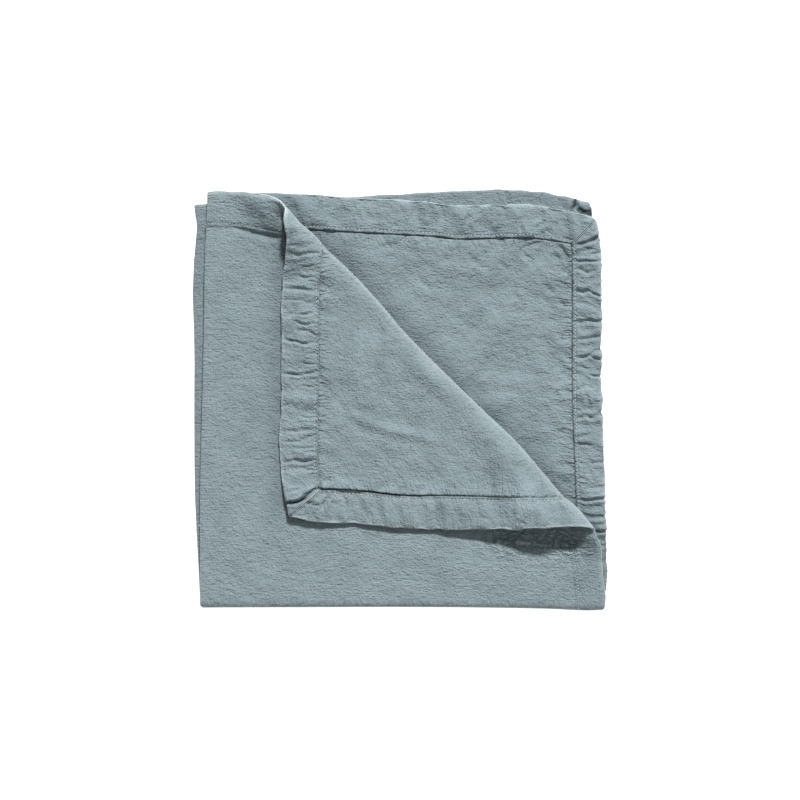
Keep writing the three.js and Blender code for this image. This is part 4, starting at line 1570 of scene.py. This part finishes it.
def stitch_line(hem):
    """Stitches along a hem, on the wrong side's band and on the right side."""
    rng = np.random.default_rng(hem.seed + STITCH_SEED)
    reach = hem.half_length - hem.other_width * (1 - STITCH_INSET / hem.width)
    made = []
    for wrong in (True, False):
        count = round(2 * reach / STITCH_PITCH[wrong])
        even = (np.arange(count) + 0.5) / count * 2 * reach - reach
        run = even + rng.uniform(-STITCH_JITTER, STITCH_JITTER, count)
        depth = hem.width - STITCH_INSET + rng.uniform(-STITCH_SWAY, STITCH_SWAY, count)
        u, v = hem.cloth(run, depth)
        place, along_u, along_v, normal = cloth_frame(u, v)
        base = panel_relief(u, v, place)
        underneath = (u > 0) & (v < 0)
        rise = np.where(underneath, -STITCH_RADIUS, STITCH_RISE)
        height = -hem.top(run, depth, u, v, place) - STITCH_RISE if wrong else SOLID_HALF + rise
        centres = place + normal * (base + height)[:, None]
        directions = along_v if hem.along_v else along_u
        lengths = STITCH_LENGTH[wrong] * rng.uniform(*STITCH_LENGTHS, count)
        made.append(capsules(centres, directions, normal, lengths, STITCH_RADIUS))
    return made


def mitre_threads(hem):
    """The two fine seams that close the mitres at a side hem's ends, on the wrong side."""
    from_edge, from_seam = MITRE_THREAD_ENDS
    depth = np.linspace(from_edge, hem.width - from_seam, MITRE_THREAD_POINTS)
    made = []
    for end in (-1, 1):
        for beside in (-MITRE_THREAD_APART / 2, MITRE_THREAD_APART / 2):
            run = end * (hem.half_length - depth * hem.other_width / hem.width + beside)
            u, v = hem.cloth(run, depth)
            place, _, _, normal = cloth_frame(u, v)
            height = panel_relief(u, v, place) - hem.top(run, depth, u, v, place) - MITRE_THREAD_RISE
            points = place + normal * height[:, None]
            steps = np.diff(points, axis=0)
            lengths = np.linalg.norm(steps, axis=1)
            middles = (points[:-1] + points[1:]) / 2
            directions = steps / lengths[:, None]
            made.append(capsules(middles, directions, normal[:-1], lengths, MITRE_THREAD_RADIUS))
    return made


def stitching():
    parts = []
    for hem in HEMS.values():
        parts += stitch_line(hem)
        if hem.along_v:
            parts += mitre_threads(hem)
    return joined("runner_stitches", parts)


# Materials


class Shading:
    """A new material, its shader, and short ways to add nodes to it."""

    def __init__(self, name):
        self.material = bpy.data.materials.new(name)
        self.material.use_nodes = True
        self.tree = self.material.node_tree
        self.shader = self.tree.nodes["Principled BSDF"]

    def feed(self, socket, value):
        """Links the socket to another node's output, or sets its own value."""
        if isinstance(value, bpy.types.NodeSocket):
            self.tree.links.new(value, socket)
        else:
            socket.default_value = value

    def add(self, kind, inputs, **settings):
        node = self.tree.nodes.new("ShaderNode" + kind)
        for name, value in settings.items():
            setattr(node, name, value)
        for name, value in inputs.items():
            self.feed(node.inputs[name], value)
        return node

    def math(self, operation, *values, clamp=False):
        inputs = dict(enumerate(values))
        return self.add("Math", inputs, operation=operation, use_clamp=clamp).outputs[0]

    def mix(self, share, start, end):
        inputs = {"Factor": share, "A": start, "B": end}
        return self.add("Mix", inputs, data_type="RGBA").outputs["Result"]

    def share(self, name):
        """A value kept at the points of the mesh."""
        return self.add("Attribute", {}, attribute_name=name).outputs["Fac"]

    def noise(self, source, across, along, detail):
        """Noise over the cloth's own coordinates, with a scale for each direction, per millimetre."""
        scale = (across / MM, along / MM, 1)
        mapping = self.add("Mapping", {"Vector": source, "Scale": scale})
        inputs = {
            "Vector": mapping.outputs["Vector"],
            "Scale": 1.0,
            "Detail": detail,
            "Roughness": NOISE_ROUGHNESS,
        }
        return self.add("TexNoise", inputs).outputs["Fac"]

    def ripples(self, source, across, along, share):
        """Sharp-bottomed ripples, as strong as the share."""
        centred = self.math("SUBTRACT", self.noise(source, across, along, RIPPLE_DETAIL), 0.5)
        level = self.math("SUBTRACT", self.math("ABSOLUTE", centred), RIPPLE_LEVEL)
        return self.math("MULTIPLY_ADD", level, self.share(share), 0.5)

    def weighted_sum(self, values, weights):
        """Sum of (value - 0.5) * weight over the weights."""
        total = None
        for name, weight in weights.items():
            scaled = self.math("MULTIPLY_ADD", values[name], weight, -0.5 * weight)
            total = scaled if total is None else self.math("ADD", total, scaled)
        return total


def linen_material(name):
    """Washed linen: uneven threads both ways, faint blotches, worn places and painted highlight that
    lighten it, and painted shade that darkens it in its deep places.
    """
    linen = Shading(name)
    source = linen.add("UVMap", {}, uv_map="Cloth").outputs["UV"]
    values = {key: linen.noise(source, *noise) for key, noise in LINEN_NOISE.items()}
    values |= {key: linen.ripples(source, *ripple) for key, ripple in LINEN_RIPPLES.items()}
    tone = linen.math("ADD", linen.weighted_sum(values, LINEN_TONE), 0.5, clamp=True)
    colour = linen.mix(tone, LINEN_DARK, LINEN_LIGHT)
    # Lighter where the cloth is worn and where highlight is painted, darker where shade is painted
    colour = linen.mix(linen.share("HighlightAndWear"), colour, LINEN_HIGHLIGHT_AND_WORN)
    colour = linen.mix(linen.share("Shade"), colour, PAINTED_SHADE_COLOUR)
    linen.feed(linen.shader.inputs["Base Color"], colour)
    relief = linen.weighted_sum(values, LINEN_RELIEF)
    bumps = linen.add("Bump", {"Strength": 1.0, "Distance": LINEN_BUMP * MM, "Height": relief})
    linen.feed(linen.shader.inputs["Normal"], bumps.outputs["Normal"])
    for socket, value in LINEN_SHADER.items():
        linen.shader.inputs[socket].default_value = value
    return linen.material


def thread_material():
    thread = Shading("linen_thread")
    source = thread.add("TexCoord", {}).outputs["Object"]
    noise = thread.add("TexNoise", {"Scale": THREAD_NOISE_SCALE, "Vector": source})
    colour = thread.mix(noise.outputs["Fac"], THREAD_DARK, THREAD_LIGHT)
    thread.feed(thread.shader.inputs["Base Color"], colour)
    thread.shader.inputs["Roughness"].default_value = THREAD_ROUGHNESS
    return thread.material


# Studio


def camera():
    data = bpy.data.cameras.new("camera")
    data.sensor_width = SENSOR_WIDTH
    data.lens = SENSOR_WIDTH * (CAMERA_HEIGHT - CLOTH_HEIGHT) / FRAME_WIDTH
    data.clip_end = CLIP_END
    made = placed("camera", data)
    made.location = (FRAME_CENTRE[0] * MM, FRAME_CENTRE[1] * MM, CAMERA_HEIGHT * MM)
    bpy.context.scene.camera = made


def sun(name, towards, strength, angle):
    """A far light from the direction towards, as wide as the angle in degrees."""
    data = bpy.data.lights.new(name, "SUN")
    data.energy = strength
    data.angle = math.radians(angle)
    made = placed(name, data)
    made.rotation_euler = Vector(towards).to_track_quat("Z", "Y").to_euler()


def studio():
    world = bpy.data.worlds.new("studio")
    world.use_nodes = True
    background = world.node_tree.nodes["Background"]
    background.inputs["Color"].default_value = (1, 1, 1, 1)
    background.inputs["Strength"].default_value = WORLD_STRENGTH
    bpy.context.scene.world = world
    for light in SUNS:
        sun(*light)
    corners = [(x * FLOOR_HALF, y * FLOOR_HALF, 0) for x, y in ((-1, -1), (1, -1), (1, 1), (-1, 1))]
    mesh = bpy.data.meshes.new("floor")
    mesh.from_pydata(corners, [], [(0, 1, 2, 3)])
    floor = placed("floor", mesh)
    white = Shading("white_floor")
    for socket, value in FLOOR_SHADER.items():
        white.shader.inputs[socket].default_value = value
    mesh.materials.append(white.material)
    bpy.context.scene.view_settings.view_transform = "Standard"


# The part

camera()
studio()

linen = linen_material("linen")
sheet = cloth_sheet()
end_hems = hem_bands("runner_end_hems", "upper_end", "lower_end")
side_hems = hem_bands("runner_side_hems", "outer_side", "inner_side")
stitches = stitching()
for piece in (sheet, end_hems, side_hems):
    piece.data.materials.append(linen)
stitches.data.materials.append(thread_material())
for piece in (sheet, end_hems, side_hems, stitches):
    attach(piece, "root")
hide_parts("runner_cloth")
